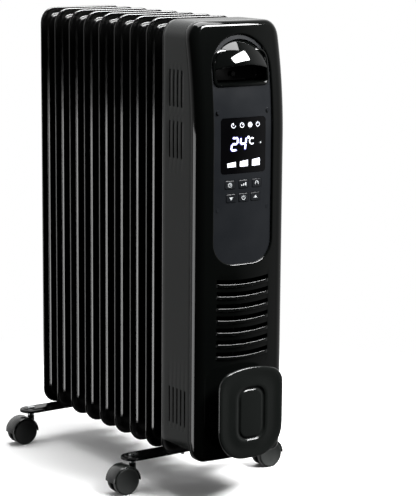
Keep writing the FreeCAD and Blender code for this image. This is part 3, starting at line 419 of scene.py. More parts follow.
def rounded(left, right, low, high, foot, head=None):
    """Corners of a rounded rectangle, anticlockwise."""
    head = foot if head is None else head
    return [(left + foot, low), (right - foot, low, foot), (right, low + foot),
            (right, high - head, head), (right - head, high), (left + head, high, head),
            (left, high - head), (left, low + foot, foot)]


def front_view(loop, y):
    """A loop of (x, z) points stood up at a depth; y may be a function of x and z."""
    return [(x, REAR_Y + (y(x, z) if callable(y) else y), z) for x, z in loop]


def on_circle(x, y, radius, degrees):
    angle = math.radians(degrees)
    return x + radius * math.cos(angle), y + radius * math.sin(angle)


def mixed(first, second, share):
    return [tuple(a + (b - a) * share for a, b in zip(p, q)) for p, q in zip(first, second)]


# ---- the curved front -----------------------------------------------------------------------

def lean(z):
    """How far the casing's front leans back at a height."""
    rise = max(z - LEAN_START, 0)
    return LEAN_ROUND - math.sqrt(LEAN_ROUND ** 2 - rise ** 2)


def crown(x):
    return CROWN - math.sqrt(CROWN ** 2 - min(abs(x), EDGE_X) ** 2)


def face_y(x, z):
    """Depth of the crowned, leaning front face."""
    return EDGE_Y - crown(EDGE_X) + crown(x) + lean(z)


def strip_y(x, z):
    return face_y(x, z) + STRIP_DEPTH


def seam_y(z):
    return SEAM_Y + lean(z)


def spaced(first, last, count):
    return [first + (last - first) * i / count for i in range(count + 1)]


# ---- fins -----------------------------------------------------------------------------------

def smooth_step(value):
    value = min(max(value, 0), 1)
    return value * value * (3 - 2 * value)


def quarter(share):
    """Height of a unit quarter circle that starts upright, over 0...1."""
    return math.sqrt(max(1 - (1 - share) ** 2, 0))


def edge_at(bend, turn):
    """Inset and depth on an edge of radius bend, at an angle in degrees."""
    angle = math.radians(turn)
    return bend * (1 - math.cos(angle)), bend * (1 - math.sin(angle))


def fin_height(x, z):
    """Half thickness of a pressed fin inside its stepped edge."""
    height = PANEL
    for centre in CHANNELS:
        dz = max(138 - z, z - 538, 0)
        away = math.hypot(x - centre, dz)
        height = max(height, PANEL + 2 * smooth_step((11.5 - away) / 5))
    for level in HEADERS:
        away = math.hypot(x, z - level)
        height = max(height, PANEL + 5.5 * smooth_step((33 - away) / 11))
    return height


def fin_ring(inset, radius, arc=6, across=24, upright=46):
    """Loop round a fin at an inset, from the middle of its lower left corner. The same number
    of points stands on each side at any inset."""
    half, low, high = HALF - inset, LOW + inset, TOP - inset
    ends = [(-half + radius, low + radius, 225), (half - radius, low + radius, 315),
            (half - radius, high - radius, 45), (-half + radius, high - radius, 135)]
    dense = 0.17
    part = round(upright * 0.4)
    fractions = (spaced(0, dense, part)[:-1] + spaced(dense, 1 - dense, upright - 2 * part)
                 + spaced(1 - dense, 1, part)[1:])
    points = []
    turns = [45 * step / (arc // 2) for step in range(arc // 2)]
    for side, (x, z, angle) in enumerate(ends):
        next_x, next_z, _ = ends[(side + 1) % 4]
        points += [on_circle(x, z, radius, angle + turn) for turn in turns]
        start = Vector(on_circle(x, z, radius, angle + 45))
        end = Vector(on_circle(next_x, next_z, radius, angle + 45))
        shares = spaced(0, 1, across) if side % 2 == 0 else fractions
        points += [tuple(start.lerp(end, share)) for share in shares]
        points += [on_circle(next_x, next_z, radius, angle + 45 + turn) for turn in turns[1:]]
    return points, arc + across, arc + upright


def fin_half(side, bead, step_run):
    """One pressed sheet of a fin: rolled rim, flat band, step, and the embossed panel."""
    profile = [(bead * (1 - math.cos(math.radians(a))), bead * math.sin(math.radians(a)))
               for a in (0, 30, 60, 90, 120, 143)]
    profile += [(3, 0.75), (6, 0.8), (8.7, 0.8)]
    profile += [(BAND + step_run * share, height) for share, height in (
        (0.08, 0.97), (0.2, 1.4), (0.38, 2.2), (0.62, 3.4), (0.8, 4.1), (0.92, 4.4), (1, PANEL))]
    rings = []
    for inset, height in profile:
        radius = FIN_CORNER - inset if inset < 3 else FIN_CORNER - 3 - (inset - 3) * 0.4
        rings.append([(x, side * height, z) for x, z in fin_ring(inset, radius)[0]])
    edge, wide, tall = fin_ring(profile[-1][0] + 2.5, 13)
    foot = edge[:wide + 1]
    right = edge[wide:wide + tall + 1]
    head = edge[wide + tall:2 * wide + tall + 1][::-1]
    left = (edge[2 * wide + tall:] + edge[:1])[::-1]
    rings.append([(x, side * PANEL, z) for x, z in edge])
    grid = []
    for j in range(tall + 1):
        v = (left[j][1] - left[0][1]) / (left[-1][1] - left[0][1])
        row = []
        for i in range(wide + 1):
            u = (foot[i][0] - foot[0][0]) / (foot[-1][0] - foot[0][0])
            point = [
                (1 - v) * foot[i][k] + v * head[i][k] + (1 - u) * left[j][k] + u * right[j][k]
                - ((1 - u) * (1 - v) * foot[0][k] + u * (1 - v) * foot[-1][k]
                   + (1 - u) * v * head[0][k] + u * v * head[-1][k]) for k in (0, 1)]
            row.append((point[0], side * fin_height(*point), point[1]))
        grid.append(row)
    return [loft(rings), loft(grid, closed=False)]


# ---- settings -------------------------------------------------------------------------------

class HeaterFinSettings(bpy.types.PropertyGroup):
    bead: bpy.props.FloatProperty(
        name="Rim bead", description="Radius of the rolled rim of a fin, in millimetres",
        default=1.4, min=0.8, max=2)
    step_run: bpy.props.FloatProperty(
        name="Step run", description="Width of the pressed step inside the band, in millimetres",
        default=2.3, min=1.5, max=5)
    count: bpy.props.IntProperty(
        name="Fins", description="Number of fins behind the casing", default=len(FINS), min=1,
        max=len(FINS))


class HeaterFrontSettings(bpy.types.PropertyGroup):
    top_round: bpy.props.FloatProperty(
        name="Top edge", description="Radius of the front's top edge, in millimetres",
        default=7, min=2, max=12)
    bottom_round: bpy.props.FloatProperty(
        name="Bottom edge", description="Radius of the front's bottom edge, in millimetres",
        default=4, min=1, max=8)
    recess_round: bpy.props.FloatProperty(
        name="Recess edge", description="Radius round the control panel, in millimetres",
        default=1.9, min=0.8, max=2.2)
    wall: bpy.props.FloatProperty(
        name="Wall", description="Wall of the moulded front, in millimetres", default=1.7,
        min=1, max=2.4)


class HeaterSignSettings(bpy.types.PropertyGroup):
    digits: bpy.props.StringProperty(
        name="Reading", description="Two digits that the display shows", default="24",
        maxlen=2)
    lamp: bpy.props.FloatVectorProperty(
        name="Lamp", description="Colour of the halo round the lit signs", subtype="COLOR",
        default=linear("#4d4bb4"), min=0, max=1)
    strength: bpy.props.FloatProperty(
        name="Brightness", description="Brightness of the lit signs", default=1.1, min=0, max=5)


class HeaterStageSettings(bpy.types.PropertyGroup):
    floor: bpy.props.FloatVectorProperty(
        name="Floor", description="Colour of the studio floor", subtype="COLOR",
        default=linear("#f2f2f2"), min=0, max=1)
    key_power: bpy.props.FloatProperty(
        name="Key light", description="Power of the large front softbox", unit="POWER",
        default=165, min=0, max=1000)
    top_power: bpy.props.FloatProperty(
        name="Top light", description="Power of the overhead softbox", unit="POWER",
        default=110, min=0, max=1000)
    side_power: bpy.props.FloatProperty(
        name="Side light", description="Power of the low softbox on the left", unit="POWER",
        default=8, min=0, max=1000)


# ---- stage ----------------------------------------------------------------------------------

def softbox(name, place, target, wide, high, power):
    light = bpy.data.lights.new(name, "AREA")
    light.shape, light.size, light.size_y, light.energy = "RECTANGLE", wide, high, power
    lamp = bpy.data.objects.new(name, light)
    bpy.context.scene.collection.objects.link(lamp)
    lamp.location = place
    lamp.rotation_euler = (Vector(target) - Vector(place)).to_track_quat("-Z", "Y").to_euler()
    lamp.visible_camera = False


def studio_world():
    """White behind the object; for reflections the room is bright behind and dark in front."""
    world = bpy.data.worlds.new("studio")
    bpy.context.scene.world = world
    world.use_nodes = True
    tree = world.node_tree
    tree.nodes.clear()
    way = add_node(tree, "ShaderNodeTexCoord").outputs["Generated"]
    part = add_node(tree, "ShaderNodeSeparateXYZ", {"Vector": way}).outputs
    behind = remap(tree, part["Y"], 0.0, 0.8, 0.015, 0.9, "SMOOTHSTEP")
    above = remap(tree, part["Z"], -0.1, 0.3, 0.6, 1.4)
    right = remap(tree, part["X"], 0.5, 0.95, 0.0, 0.4)
    room = add_node(tree, "ShaderNodeMath", {0: behind, 1: above}, operation="MULTIPLY")
    room = add_node(tree, "ShaderNodeMath", {0: room.outputs[0], 1: right}, operation="ADD")
    lighting = add_node(tree, "ShaderNodeBackground", {"Strength": room.outputs[0]})
    white = add_node(tree, "ShaderNodeBackground", {"Strength": 1.0})
    for shader in (lighting, white):
        shader.inputs["Color"].default_value = (1, 1, 1, 1)
    seen = add_node(tree, "ShaderNodeLightPath").outputs["Is Camera Ray"]
    both = add_node(tree, "ShaderNodeMixShader", {
        0: seen, 1: lighting.outputs[0], 2: white.outputs[0]})
    add_node(tree, "ShaderNodeOutputWorld", {"Surface": both.outputs[0]})


def floor_paint(colour):
    """Matt paper floor that runs out into white away from the object."""
    made, tree = new_tree("studio_floor")
    where = add_node(tree, "ShaderNodeTexCoord").outputs["Object"]
    rough = remap(tree, noise(tree, where, 30.0), 0, 1, 0.5, 0.7)
    paper = add_node(tree, "ShaderNodeBsdfPrincipled", {
        "Base Color": (*colour, 1), "Roughness": rough, "Specular IOR Level": 0.1})
    white = add_node(tree, "ShaderNodeEmission", {"Color": (1, 1, 1, 1), "Strength": 1.0})
    centre = add_node(tree, "ShaderNodeVectorMath", {0: where, 1: (0.0, 0.05, 0.0)},
                      operation="DISTANCE").outputs["Value"]
    away = remap(tree, centre, 0.3, 0.75, 0, 1, "SMOOTHSTEP")
    both = add_node(tree, "ShaderNodeMixShader", {
        0: away, 1: paper.outputs["BSDF"], 2: white.outputs["Emission"]})
    add_node(tree, "ShaderNodeOutputMaterial", {"Surface": both.outputs[0]})
    return made


class HEATER_OT_stage(bpy.types.Operator):
    """Floor, soft lights and the camera"""
    bl_idname = "heater.stage"
    bl_label = "Stage"

    def execute(self, context):
        settings = context.scene.heater_stage
        turn, rise, roll = (math.radians(angle)
                            for angle in (CAMERA_TURN, CAMERA_RISE, CAMERA_ROLL))
        back = Vector((math.sin(turn) * math.cos(rise), -math.cos(turn) * math.cos(rise),
                       math.sin(rise)))
        right = Vector((math.cos(turn), math.sin(turn), 0))
        up = back.cross(right)
        right, up = (right * math.cos(roll) + up * math.sin(roll),
                     up * math.cos(roll) - right * math.sin(roll))
        camera = bpy.data.objects.new("camera", bpy.data.cameras.new("camera"))
        context.scene.collection.objects.link(camera)
        camera.matrix_world = Matrix.Translation(Vector(CAMERA_AT)) @ Matrix(
            (right, up, back)).transposed().to_4x4()
        camera.data.lens, camera.data.sensor_width = CAMERA_LENS, CAMERA_FILM
        camera.data.clip_end = 100
        context.scene.camera = camera
        context.scene.view_settings.view_transform = "Standard"

        ground = [(-1.3, -1.0, 0), (1.3, -1.0, 0), (1.3, 1.6, 0), (-1.3, 1.6, 0)]
        mesh = bpy.data.meshes.new("floor")
        mesh.from_pydata(ground, [], [(0, 1, 2, 3)])
        floor = bpy.data.objects.new("floor", mesh)
        context.scene.collection.objects.link(floor)
        mesh.materials.append(floor_paint(settings.floor))
        floor.visible_diffuse = floor.visible_glossy = False

        studio_world()
        softbox("front softbox", (1.0, -1.6, 2.1), (0, -0.1, 0.4), 1.5, 0.65,
                settings.key_power)
        softbox("top softbox", (0.35, 0.1, 2.6), (0.3, 0.1, 0), 2.6, 1.6, settings.top_power)
        softbox("side softbox", (-1.5, 0.2, -0.03), (0, 0.2, -0.03), 0.8, 0.74,
                settings.side_power)
        return {"FINISHED"}


# ---- pieces ---------------------------------------------------------------------------------

class HEATER_OT_fins(bpy.types.Operator):
    """Pressed fins: two sheets each, with a rolled rim, a stepped panel and oil channels"""
    bl_idname = "heater.fins"
    bl_label = "Fins"

    def execute(self, context):
        settings = context.scene.heater_fins
        paint = finish_named("fin_enamel")
        parts = fin_half(-1, settings.bead, settings.step_run)
        parts += fin_half(1, settings.bead, settings.step_run)
        mesh = mesh_of("fins", parts, sharp=60)
        mesh = repeated("fins", mesh, paint, settings.count, (0, REAR_Y, 0),
                        (0, FIN_PITCH, 0))
        shown("fins", mesh, paint, nodes=FINS)
        return {"FINISHED"}


# lower end, upper end and last column of each row of cooling slots
SIDE_SLOTS = ((518.6, 566, 9), (452.7, 500.5, 9), (101, 149.5, 11))


def slotted(first, second, column):
    """Whether the strip between two points of the wrap's outline is open in a column."""
    low, high = sorted((first[1], second[1]))
    return abs(first[0]) == HALF == abs(second[0]) and any(
        start <= low and high <= end and column in range(2, last, 2)
        for start, end, last in SIDE_SLOTS)


class HEATER_OT_casing(bpy.types.Operator):
    """Folded steel wrap with cooling slots in both sides"""
    bl_idname = "heater.casing"
    bl_label = "Side casing"

    def execute(self, context):
        columns_high = [-1.8, -7, -15.5, -18.5, -24.6, -27.6, -33.7, -36.7, -42.8, -45.8]
        columns_foot = [-1.8, -9, -17, -20, -26.1, -29.1, -35.2, -38.2, -44.3, -47.3]
        tail_foot = [-53.4, -56.4, -61]
        levels = sorted({SIDE_BOTTOM, 84, 92, 200, 260, 320, 380, 430, 475, 485, 493, 509, 530,
                         542, 554, 576, 586, 596, TOP - CASE_CORNER,
                         *(z for row in SIDE_SLOTS for z in row[:2])})
        left = [(-HALF, z) for z in levels]
        arc = [(-HALF + CASE_CORNER - CASE_CORNER * math.cos(math.radians(a)),
                TOP - CASE_CORNER + CASE_CORNER * math.sin(math.radians(a)))
               for a in range(9, 90, 9)]
        head = [(x, TOP) for x in spaced(-HALF + CASE_CORNER, 0, 4)]
        half_path = left + arc + head
        path = half_path + [(-x, z) for x, z in half_path[-2::-1]]
        rows = []
        for x, z in path:
            share = smooth_step((z - 160) / 260)
            front = seam_y(z) + SEAM_GAP
            fixed = [a + (b - a) * share for a, b in zip(columns_foot, columns_high)]
            tail = [a + (b - a) * share
                    for a, b in zip(tail_foot, spaced(columns_high[-1], front, 4)[1:])]
            rows.append([(x, REAR_Y + y, z) for y in fixed + tail + [front]])
        points, faces = loft(rows, closed=False)
        wide = len(rows[0])
        kept = [face for face in faces
                if not slotted(path[face[0] // wide], path[face[0] // wide + 1], face[0] % wide)]
        mesh = mesh_of("side_wrap", [(points, kept)], inside=(0, REAR_Y - 30, 300))
        shown("side_wrap", mesh, finish_named("casing_enamel"),
              nodes=["side_panel_left", "side_panel_right", "top_panel"], wall=1, edge=0.35)
        return {"FINISHED"}


def rim_corner(side, up, angles):
    """One corner of the front's outline: side is 1 on the right, up is 1 at the head."""
    edge, radius = (TOP, CASE_CORNER) if up > 0 else (CASE_BOTTOM, FOOT_CORNER)
    points = []
    for angle in angles:
        c, s = on_circle(0, 0, 1, angle)
        shares = (angle / 90, 0) if up > 0 else (0, angle / 90)
        points.append((side * (HALF - radius * (1 - c)), edge - up * radius * (1 - s), side * c,
                       up * s, *shares))
    return points


def front_rim():
    """Outline of the front: points with their outward way and the share of the top and the
    bottom edge in them. Both sides list the heights of the vents' edges."""
    vents = [VENT_TOP - VENT_PITCH * i + RIB_HIGH + extra
             for i in range(VENTS) for extra in (0, VENT_OPEN)]
    levels = sorted({CASE_BOTTOM + FOOT_CORNER, 86, 100, 120, 140, 160, 180, *vents, VENT_HEAD,
                     320, 335, 352, 370, 390, 410, 430, 450, 465, 475, 485, 495, 505, 515, 525,
                     535, 545, 555, STRIP_SHOULDER, 576, 586, 596, TOP - CASE_CORNER})
    rising = spaced(0, 90, RIM_ARC)[1:-1]
    falling = spaced(90, 0, RIM_ARC)[1:-1]
    head, foot = HALF - CASE_CORNER, HALF - FOOT_CORNER
    rim = [(-HALF, z, -1, 0, 0, 0) for z in levels] + rim_corner(-1, 1, rising)
    rim += [(x, TOP, 0, 1, 1, 0) for x in spaced(-head, head, RIM_ACROSS)]
    rim += rim_corner(1, 1, falling)
    rim += [(HALF, z, 1, 0, 0, 0) for z in levels[::-1]] + rim_corner(1, -1, rising)
    rim += [(x, CASE_BOTTOM, 0, -1, 0, 1) for x in spaced(foot, -foot, RIM_ACROSS)]
    return rim + rim_corner(-1, -1, falling), levels


def sag(x):
    """How far a vent's edge hangs below its ends."""
    if abs(x) >= VENT_HALF:
        return 0
    return math.sqrt(VENT_BOW ** 2 - x ** 2) - math.sqrt(VENT_BOW ** 2 - VENT_HALF ** 2)


def opening_point(x, z):
    """The point of the control panel's opening that belongs to a point of the face's rim, and
    the way out from it."""
    if z > STRIP_SHOULDER:
        angle = math.atan2(z - STRIP_SHOULDER, x)
        way = (math.cos(angle), math.sin(angle))
        return STRIP_HALF * way[0], STRIP_SHOULDER + STRIP_HALF * way[1], *way
    if z > VENT_HEAD:
        knee = STRIP_LOW + STRIP_FOOT
        share = (z - VENT_HEAD) / (STRIP_SHOULDER - VENT_HEAD)
        side = math.copysign(1, x)
        return STRIP_HALF * side, knee + share * (STRIP_SHOULDER - knee), side, 0
    flat = STRIP_HALF - STRIP_FOOT
    bend = STRIP_FOOT * math.pi / 2
    run = abs(x) / EDGE_X * (flat + bend)
    side = math.copysign(1, x)
    if run <= flat:
        return run * side, STRIP_LOW, 0, -1
    angle = (run - flat) / STRIP_FOOT
    way = (math.sin(angle) * side, -math.cos(angle))
    return (flat * side + STRIP_FOOT * way[0], STRIP_LOW + STRIP_FOOT + STRIP_FOOT * way[1],
            *way)


def rib_mesh():
    """One louvre rib: a rounded bar that hangs in a shallow bow and runs out at its ends."""
    section = [(2.2, -0.3), (-0.8, -0.3), (-1.25, -0.15), (-1.5, 0.15), (-RIB_PROUD, 0.6),
               (-RIB_PROUD, 3.2), (-1.5, 3.65), (-1.25, 4.0), (-0.8, RIB_HIGH), (2.2, RIB_HIGH)]
    ends = [36, 38, 39.4, 40.2, VENT_HALF]
    rings = []
    for x in [-x for x in ends[::-1]] + spaced(-32, 32, 16) + ends:
        swell = quarter(min((VENT_HALF - abs(x)) / 5, 1))
        low = VENT_TOP - sag(x)
        rings.append([(x, REAR_Y + face_y(x, 0) + (y * swell if y < 0 else y), low + z)
                      for y, z in section])
    return mesh_of("vent_rib", [loft(rings, first_cap=True, last_cap=True)], sharp=50)


class HEATER_OT_front(bpy.types.Operator):
    """Moulded front with the control opening, the vents and their ribs"""
    bl_idname = "heater.front"
    bl_label = "Front"

    def execute(self, context):
        settings = context.scene.heater_front
        rim, levels = front_rim()
        rings = [[(x, REAR_Y + seam_y(z), z) for x, z, *_ in rim]]
        faces_edge = []
        for turn in (0, 12, 24, 36, 48, 60, 72, 81, 90):
            ring = []
            for x, z, way_x, way_z, top, bottom in rim:
                bend = (EDGE_ROUND + (settings.top_round - EDGE_ROUND) * smooth_step(top)
                        + (settings.bottom_round - EDGE_ROUND) * smooth_step(bottom))
                inset, depth = edge_at(bend, turn)
                px, pz = x - way_x * inset, z - way_z * inset
                ring.append((px, REAR_Y + face_y(px, pz) + depth, pz))
            rings.append(ring)
        faces_edge.append(loft(rings))
        last = rings[-1]

        split = levels.index(VENT_HEAD)
        count = len(levels)
        start_right = count + 2 * (RIM_ARC - 1) + RIM_ACROSS + 1
        upper = last[split:start_right + (count - split)]
        lines = (spaced(-EDGE_X, -VENT_HALF, RIM_ARC)[:-1]
                 + spaced(-VENT_HALF, VENT_HALF, RIM_ACROSS)
                 + spaced(VENT_HALF, EDGE_X, RIM_ARC)[1:])
        floor_line = [(x, REAR_Y + face_y(x, VENT_HEAD), VENT_HEAD)
                      for x in lines[::-1][1:-1]]
        loop = upper + floor_line
        bend = settings.recess_round
        targets = [opening_point(x, z) for x, _, z in loop]
        annulus = []
        for share in (0, 0.3, 0.6, 0.85, 1):
            ring = []
            for (x, _, z), (ox, oz, way_x, way_z) in zip(loop, targets):
                gx, gz = ox + way_x * bend, oz + way_z * bend
                px, pz = x + (gx - x) * share, z + (gz - z) * share
                ring.append((px, REAR_Y + face_y(px, pz), pz))
            annulus.append(ring)
        for turn in (18, 36, 54, 72, 90):
            ring = []
            for ox, oz, way_x, way_z in targets:
                depth, away = edge_at(bend, turn)
                px, pz = ox + way_x * away, oz + way_z * away
                ring.append((px, REAR_Y + face_y(px, pz) + depth, pz))
            annulus.append(ring)
        annulus.append([(ox, REAR_Y + face_y(ox, oz) + 2.45, oz) for ox, oz, *_ in targets])
        panel = loft(annulus)

        grid_levels = levels[:split + 1]
        grid = []
        for z in grid_levels:
            weight = smooth_step((z - 175) / 12) * smooth_step((VENT_HEAD - z) / 8)
            grid.append([(x, REAR_Y + face_y(x, z), z - sag(x) * weight) for x in lines])
        points, faces = loft(grid, closed=False)
        wide = len(lines)
        slots = {round(VENT_TOP - VENT_PITCH * i + RIB_HIGH, 3) for i in range(VENTS)}
        kept = [face for face in faces
                if not (round(grid_levels[face[0] // wide], 3) in slots
                        and RIM_ARC <= face[0] % wide < RIM_ARC + RIM_ACROSS)]
        bottom = last[start_right + count - 1:] + last[:1]
        chin = loft([bottom[::-1], grid[0]], closed=False)
        mesh = mesh_of("front_shell", faces_edge + [panel, (points, kept), chin],
                       inside=(0, REAR_Y - 40, 350), sharp=50)
        paint = finish_named("fascia_gloss")
        shown("front_shell", mesh, paint, nodes=["front_fascia"],
              wall=settings.wall, edge=0.3, sharp=50)

        ribs = repeated("vent_ribs", rib_mesh(), paint, VENTS, (0, 0, 0), (0, 0, -VENT_PITCH))
        shown("vent_ribs", ribs, paint, nodes=["front_fascia"])
        return {"FINISHED"}


def dome_y(x, z):
    return DOME_FRONT + DOME_ROUND - math.sqrt(DOME_ROUND ** 2 - x ** 2 - (z - DOME_Z) ** 2)


class HEATER_OT_handle(bpy.types.Operator):
    """Pull handle: a half-round dome over a finger cup"""
    bl_idname = "heater.handle"
    bl_label = "Pull handle"

    def execute(self, context):
        columns, dome_half, brow, brow_bow = 40, 41.85, 573, 7
        lip, rim = 2.5, 2.2
        grid = []
        for k in range(columns + 1):
            x = dome_half * math.sin(math.pi * (k / columns - 0.5))
            low = brow - brow_bow * (x / GRIP_HALF) ** 2
            high = GRIP_SHOULDER + math.sqrt(GRIP_HALF ** 2 - x ** 2)
            column = []
            for share in (0, 0.02, 0.05, 0.1, 0.2, 0.35, 0.5, 0.65, 0.8, 0.9, 0.95, 0.98, 1):
                z = low + (high - low) * share
                from_rim = GRIP_HALF - math.hypot(x, z - GRIP_SHOULDER)
                y = dome_y(x, z) + 2.6 * (1 - quarter(min(from_rim / rim, 1)))
                y += lip * (1 - quarter(min((z - low) / lip, 1)))
                column.append((x, REAR_Y + y, z))
            grid.append(column)
        paint = finish_named("handle_gloss")
        mesh = mesh_of("grip_dome", [loft(grid, closed=False)], inside=(0, REAR_Y - 17, 548),
                       sharp=60)
        shown("grip_dome", mesh, paint, nodes=["pull_handle"], wall=2.2,
              edge=0.5, sharp=60)

        loop = by_angle(outline(rounded(-GRIP_HALF, GRIP_HALF, GRIP_LOW, 592, 7, 14)), (0, 569),
                        96)
        rings = []
        for inset, depth in ((0, 0.6), (0.1, 0), (0.5, -0.5), (1.1, -0.6), (1.6, -0.2),
                             (1.9, 0.8)):
            rings.append(front_view(grown(loop, -inset), lambda x, z: strip_y(x, z) + depth))
        for inset, y in ((2.0, GRIP_FLOOR - 4), (2.4, GRIP_FLOOR - 2), (3.6, GRIP_FLOOR - 0.6),
                         (5.2, GRIP_FLOOR)):
            rings.append(front_view(grown(loop, -inset), y))
        mesh = mesh_of("finger_cup", [loft(rings, last_cap=True)], inside=(0, REAR_Y - 30, 560))
        shown("finger_cup", mesh, paint, nodes=["pull_handle"], wall=1.5)
        return {"FINISHED"}


# ---- signs ----------------------------------------------------------------------------------

def bar(x1, z1, x2, z2, width):
    """Straight stroke with pointed ends."""
    start, end = Vector((x1, z1)), Vector((x2, z2))
    along = (end - start).normalized() * width / 2
    across = Vector((-along.y, along.x))
    points = [start, start + along - across, end - along - across, end, end - along + across,
              start + along + across]
    return [[tuple(p) for p in points]]


def block(x1, z1, x2, z2):
    return [[(x1, z1), (x2, z1), (x2, z2), (x1, z2)]]


def arc_band(x, z, radius, width, start=0, end=360, steps=20):
    """Curved stroke, as a row of quads."""
    quads = []
    inner, outer = radius - width / 2, radius + width / 2
    for k in range(steps):
        a, b = (start + (end - start) * i / steps for i in (k, k + 1))
        quads.append([on_circle(x, z, reach, angle)
                      for reach, angle in ((inner, a), (outer, a), (outer, b), (inner, b))])
    return quads


def disc(x, z, radius, steps=20):
    return [[on_circle(x, z, radius, 360 * k / steps) for k in range(steps)]]


SEGMENTS = {
    "0": "abcdef", "1": "bc", "2": "abged", "3": "abgcd", "4": "fgbc", "5": "afgcd",
    "6": "afgedc", "7": "abc", "8": "abcdefg", "9": "abcdfg",
}


def digit(sign, x, z, wide, high, stroke):
    """Seven-segment digit that leans to the right; x, z is its lower left corner."""
    gap = 0.25
    half = high / 2
    ends = {
        "a": (0, high, wide, high), "g": (0, half, wide, half), "d": (0, 0, wide, 0),
        "f": (0, half, 0, high), "b": (wide, half, wide, high), "e": (0, 0, 0, half),
        "c": (wide, 0, wide, half),
    }
    strokes = []
    for name in SEGMENTS[sign]:
        x1, z1, x2, z2 = ends[name]
        along = Vector((x2 - x1, z2 - z1)).normalized() * gap
        strokes += bar(x + x1 + along.x, z + z1 + along.y, x + x2 - along.x, z + z2 - along.y,
                       stroke)
    return [[(px + (pz - z) * 0.12, pz) for px, pz in stroke_points] for stroke_points in strokes]


def sign_mesh(name, shapes, depth, thick=0.12, proud=0.1):
    """Flat signs laid on the crowned face, depth behind it."""
    parts = []
    for points in shapes:
        front = [(x, REAR_Y + face_y(x, z) + depth - proud, z) for x, z in points]
        rear = [(x, y + thick, z) for x, y, z in front]
        parts.append(loft([front, rear], first_cap=True, last_cap=True))
    return mesh_of(name, parts, merge=0.00001)


def swollen(shapes, amount):
    """The same strokes, wider all round, for the halo behind a lit sign."""
    result = []
    for points in shapes:
        centre = sum((Vector(p) for p in points), Vector((0, 0))) / len(points)
        result.append([tuple(Vector(p) + (Vector(p) - centre).normalized() * amount)
                       for p in points])
    return result


class HEATER_OT_display(bpy.types.Operator):
    """Lit reading, signs and bars of the display"""
    bl_idname = "heater.display"
    bl_label = "Display"

    def execute(self, context):
        settings = context.scene.heater_signs
        reading_z, icons_z, bars_z = 465, 496.5, 443.5
        reading = []
        for sign, x in zip(settings.digits, (-19.5, -6.6)):
            reading += digit(sign, x, reading_z, 8.2, 15.5, 2.4)
        unit = arc_band(7.0, 480.5, 1.4, 0.9) + arc_band(12.6, 475.6, 3.9, 1.5, 50, 310)
        icons = (arc_band(-16, icons_z, 3.0, 0.55, 90, 360)
                 + bar(-16, icons_z, -16, icons_z + 3, 0.6)
                 + arc_band(-3, icons_z, 3.0, 0.55)
                 + bar(-3, icons_z, -1.4, icons_z + 1.7, 0.6)
                 + arc_band(9.6, icons_z, 3.0, 0.55) + disc(9.6, icons_z, 1.7)
                 + arc_band(22, icons_z, 2.8, 0.55, 120, 420)
                 + block(21.7, icons_z + 0.5, 22.3, icons_z + 3.7))
        ramps = []
        for x, high in ((-25, 6.5), (-6, 8), (13, 9.5)):
            ramps += [[(x, bars_z), (x + 12.5, bars_z), (x + 12.5, bars_z + high),
                       (x, bars_z + high - 1.5)]]
        white = lit("lit_sign", linear("#f2f4ff"), settings.strength)
        halo = lit("lit_halo", settings.lamp, settings.strength * 0.55)
        signs = reading + unit + icons + ramps
        mesh = sign_mesh("lit_signs", signs, STRIP_DEPTH, proud=0.14)
        shown("lit_signs", mesh, white)
        mesh = sign_mesh("lit_halo", swollen(reading, 0.9), STRIP_DEPTH, proud=0.06, thick=0.1)
        shown("lit_halo", mesh, halo)
        lamp = sign_mesh("standby_lamp", disc(26.6, 472.7, 1.3), STRIP_DEPTH)
        shown("standby_lamp", lamp, finish_named("printed_sign"))
        return {"FINISHED"}


KEYS = {
    "key_timer": (-21, 420.5), "key_mode": (0, 420.5), "key_level": (21, 420.5),
    "key_down": (-19, 403), "key_power": (0, 403), "key_up": (19, 403),
}


def key_sign(node, x, z):
    if node == "key_timer":
        return (arc_band(x, z, 2.6, 0.8) + bar(x, z - 0.2, x, z + 2.2, 0.7)
                + bar(x - 0.2, z, x + 1.9, z, 0.7))
    if node == "key_mode":
        return (block(x - 4, z - 2, x - 2.2, z - 0.4) + block(x - 0.9, z - 2, x + 0.9, z + 1)
                + block(x + 2.2, z - 2, x + 4, z + 2.4))
    if node == "key_level":
        return arc_band(x, z, 2.6, 0.8, -40, 220) + bar(x, z, x + 1.6, z + 1.6, 0.8)
    if node == "key_power":
        return arc_band(x, z, 2.6, 0.8, 125, 415) + block(x - 0.4, z, x + 0.4, z + 3.2)
    flip = 1 if node == "key_up" else -1
    return [[(x - 2.8, z - 1.6 * flip), (x + 2.8, z - 1.6 * flip), (x, z + 2.2 * flip)]]


class HEATER_OT_keys(bpy.types.Operator):
    """Key caps with crowned tops and their printed signs, riding on the keys"""
    bl_idname = "heater.keys"
    bl_label = "Keys"

    def execute(self, context):
        for node, (x, z) in KEYS.items():
            loop = by_angle(outline(rounded(x - 7.5, x + 7.5, z - 5.5, z + 5.5, 2)), (x, z), 48)
            rings = [front_view(loop, -78.9)]
            for inset, depth in ((0, 0.5), (0.15, 0.05), (0.5, -0.25), (1.2, -0.35)):
                rings.append(front_view(grown(loop, -inset),
                                        lambda a, b: strip_y(a, b) + depth))
            stem = by_angle(outline(rounded(x - 2.5, x + 2.5, z - 2.5, z + 2.5, 0.5)), (x, z), 16)
            parts = [loft(rings, first_cap=True, last_cap=True),
                     loft([front_view(stem, -75.2), front_view(stem, -78.8)], first_cap=True,
                          last_cap=True)]
            mesh = mesh_of(f"{node}_cap", parts)
            shown(f"{node}_cap", mesh, finish_named("key_plastic"), body=node,
                  nodes=[node], weighted=True)
            mesh = sign_mesh(f"{node}_sign", key_sign(node, x, z), STRIP_DEPTH - 0.35)
            shown(f"{node}_sign", mesh, finish_named("printed_sign"), body=node)
        return {"FINISHED"}


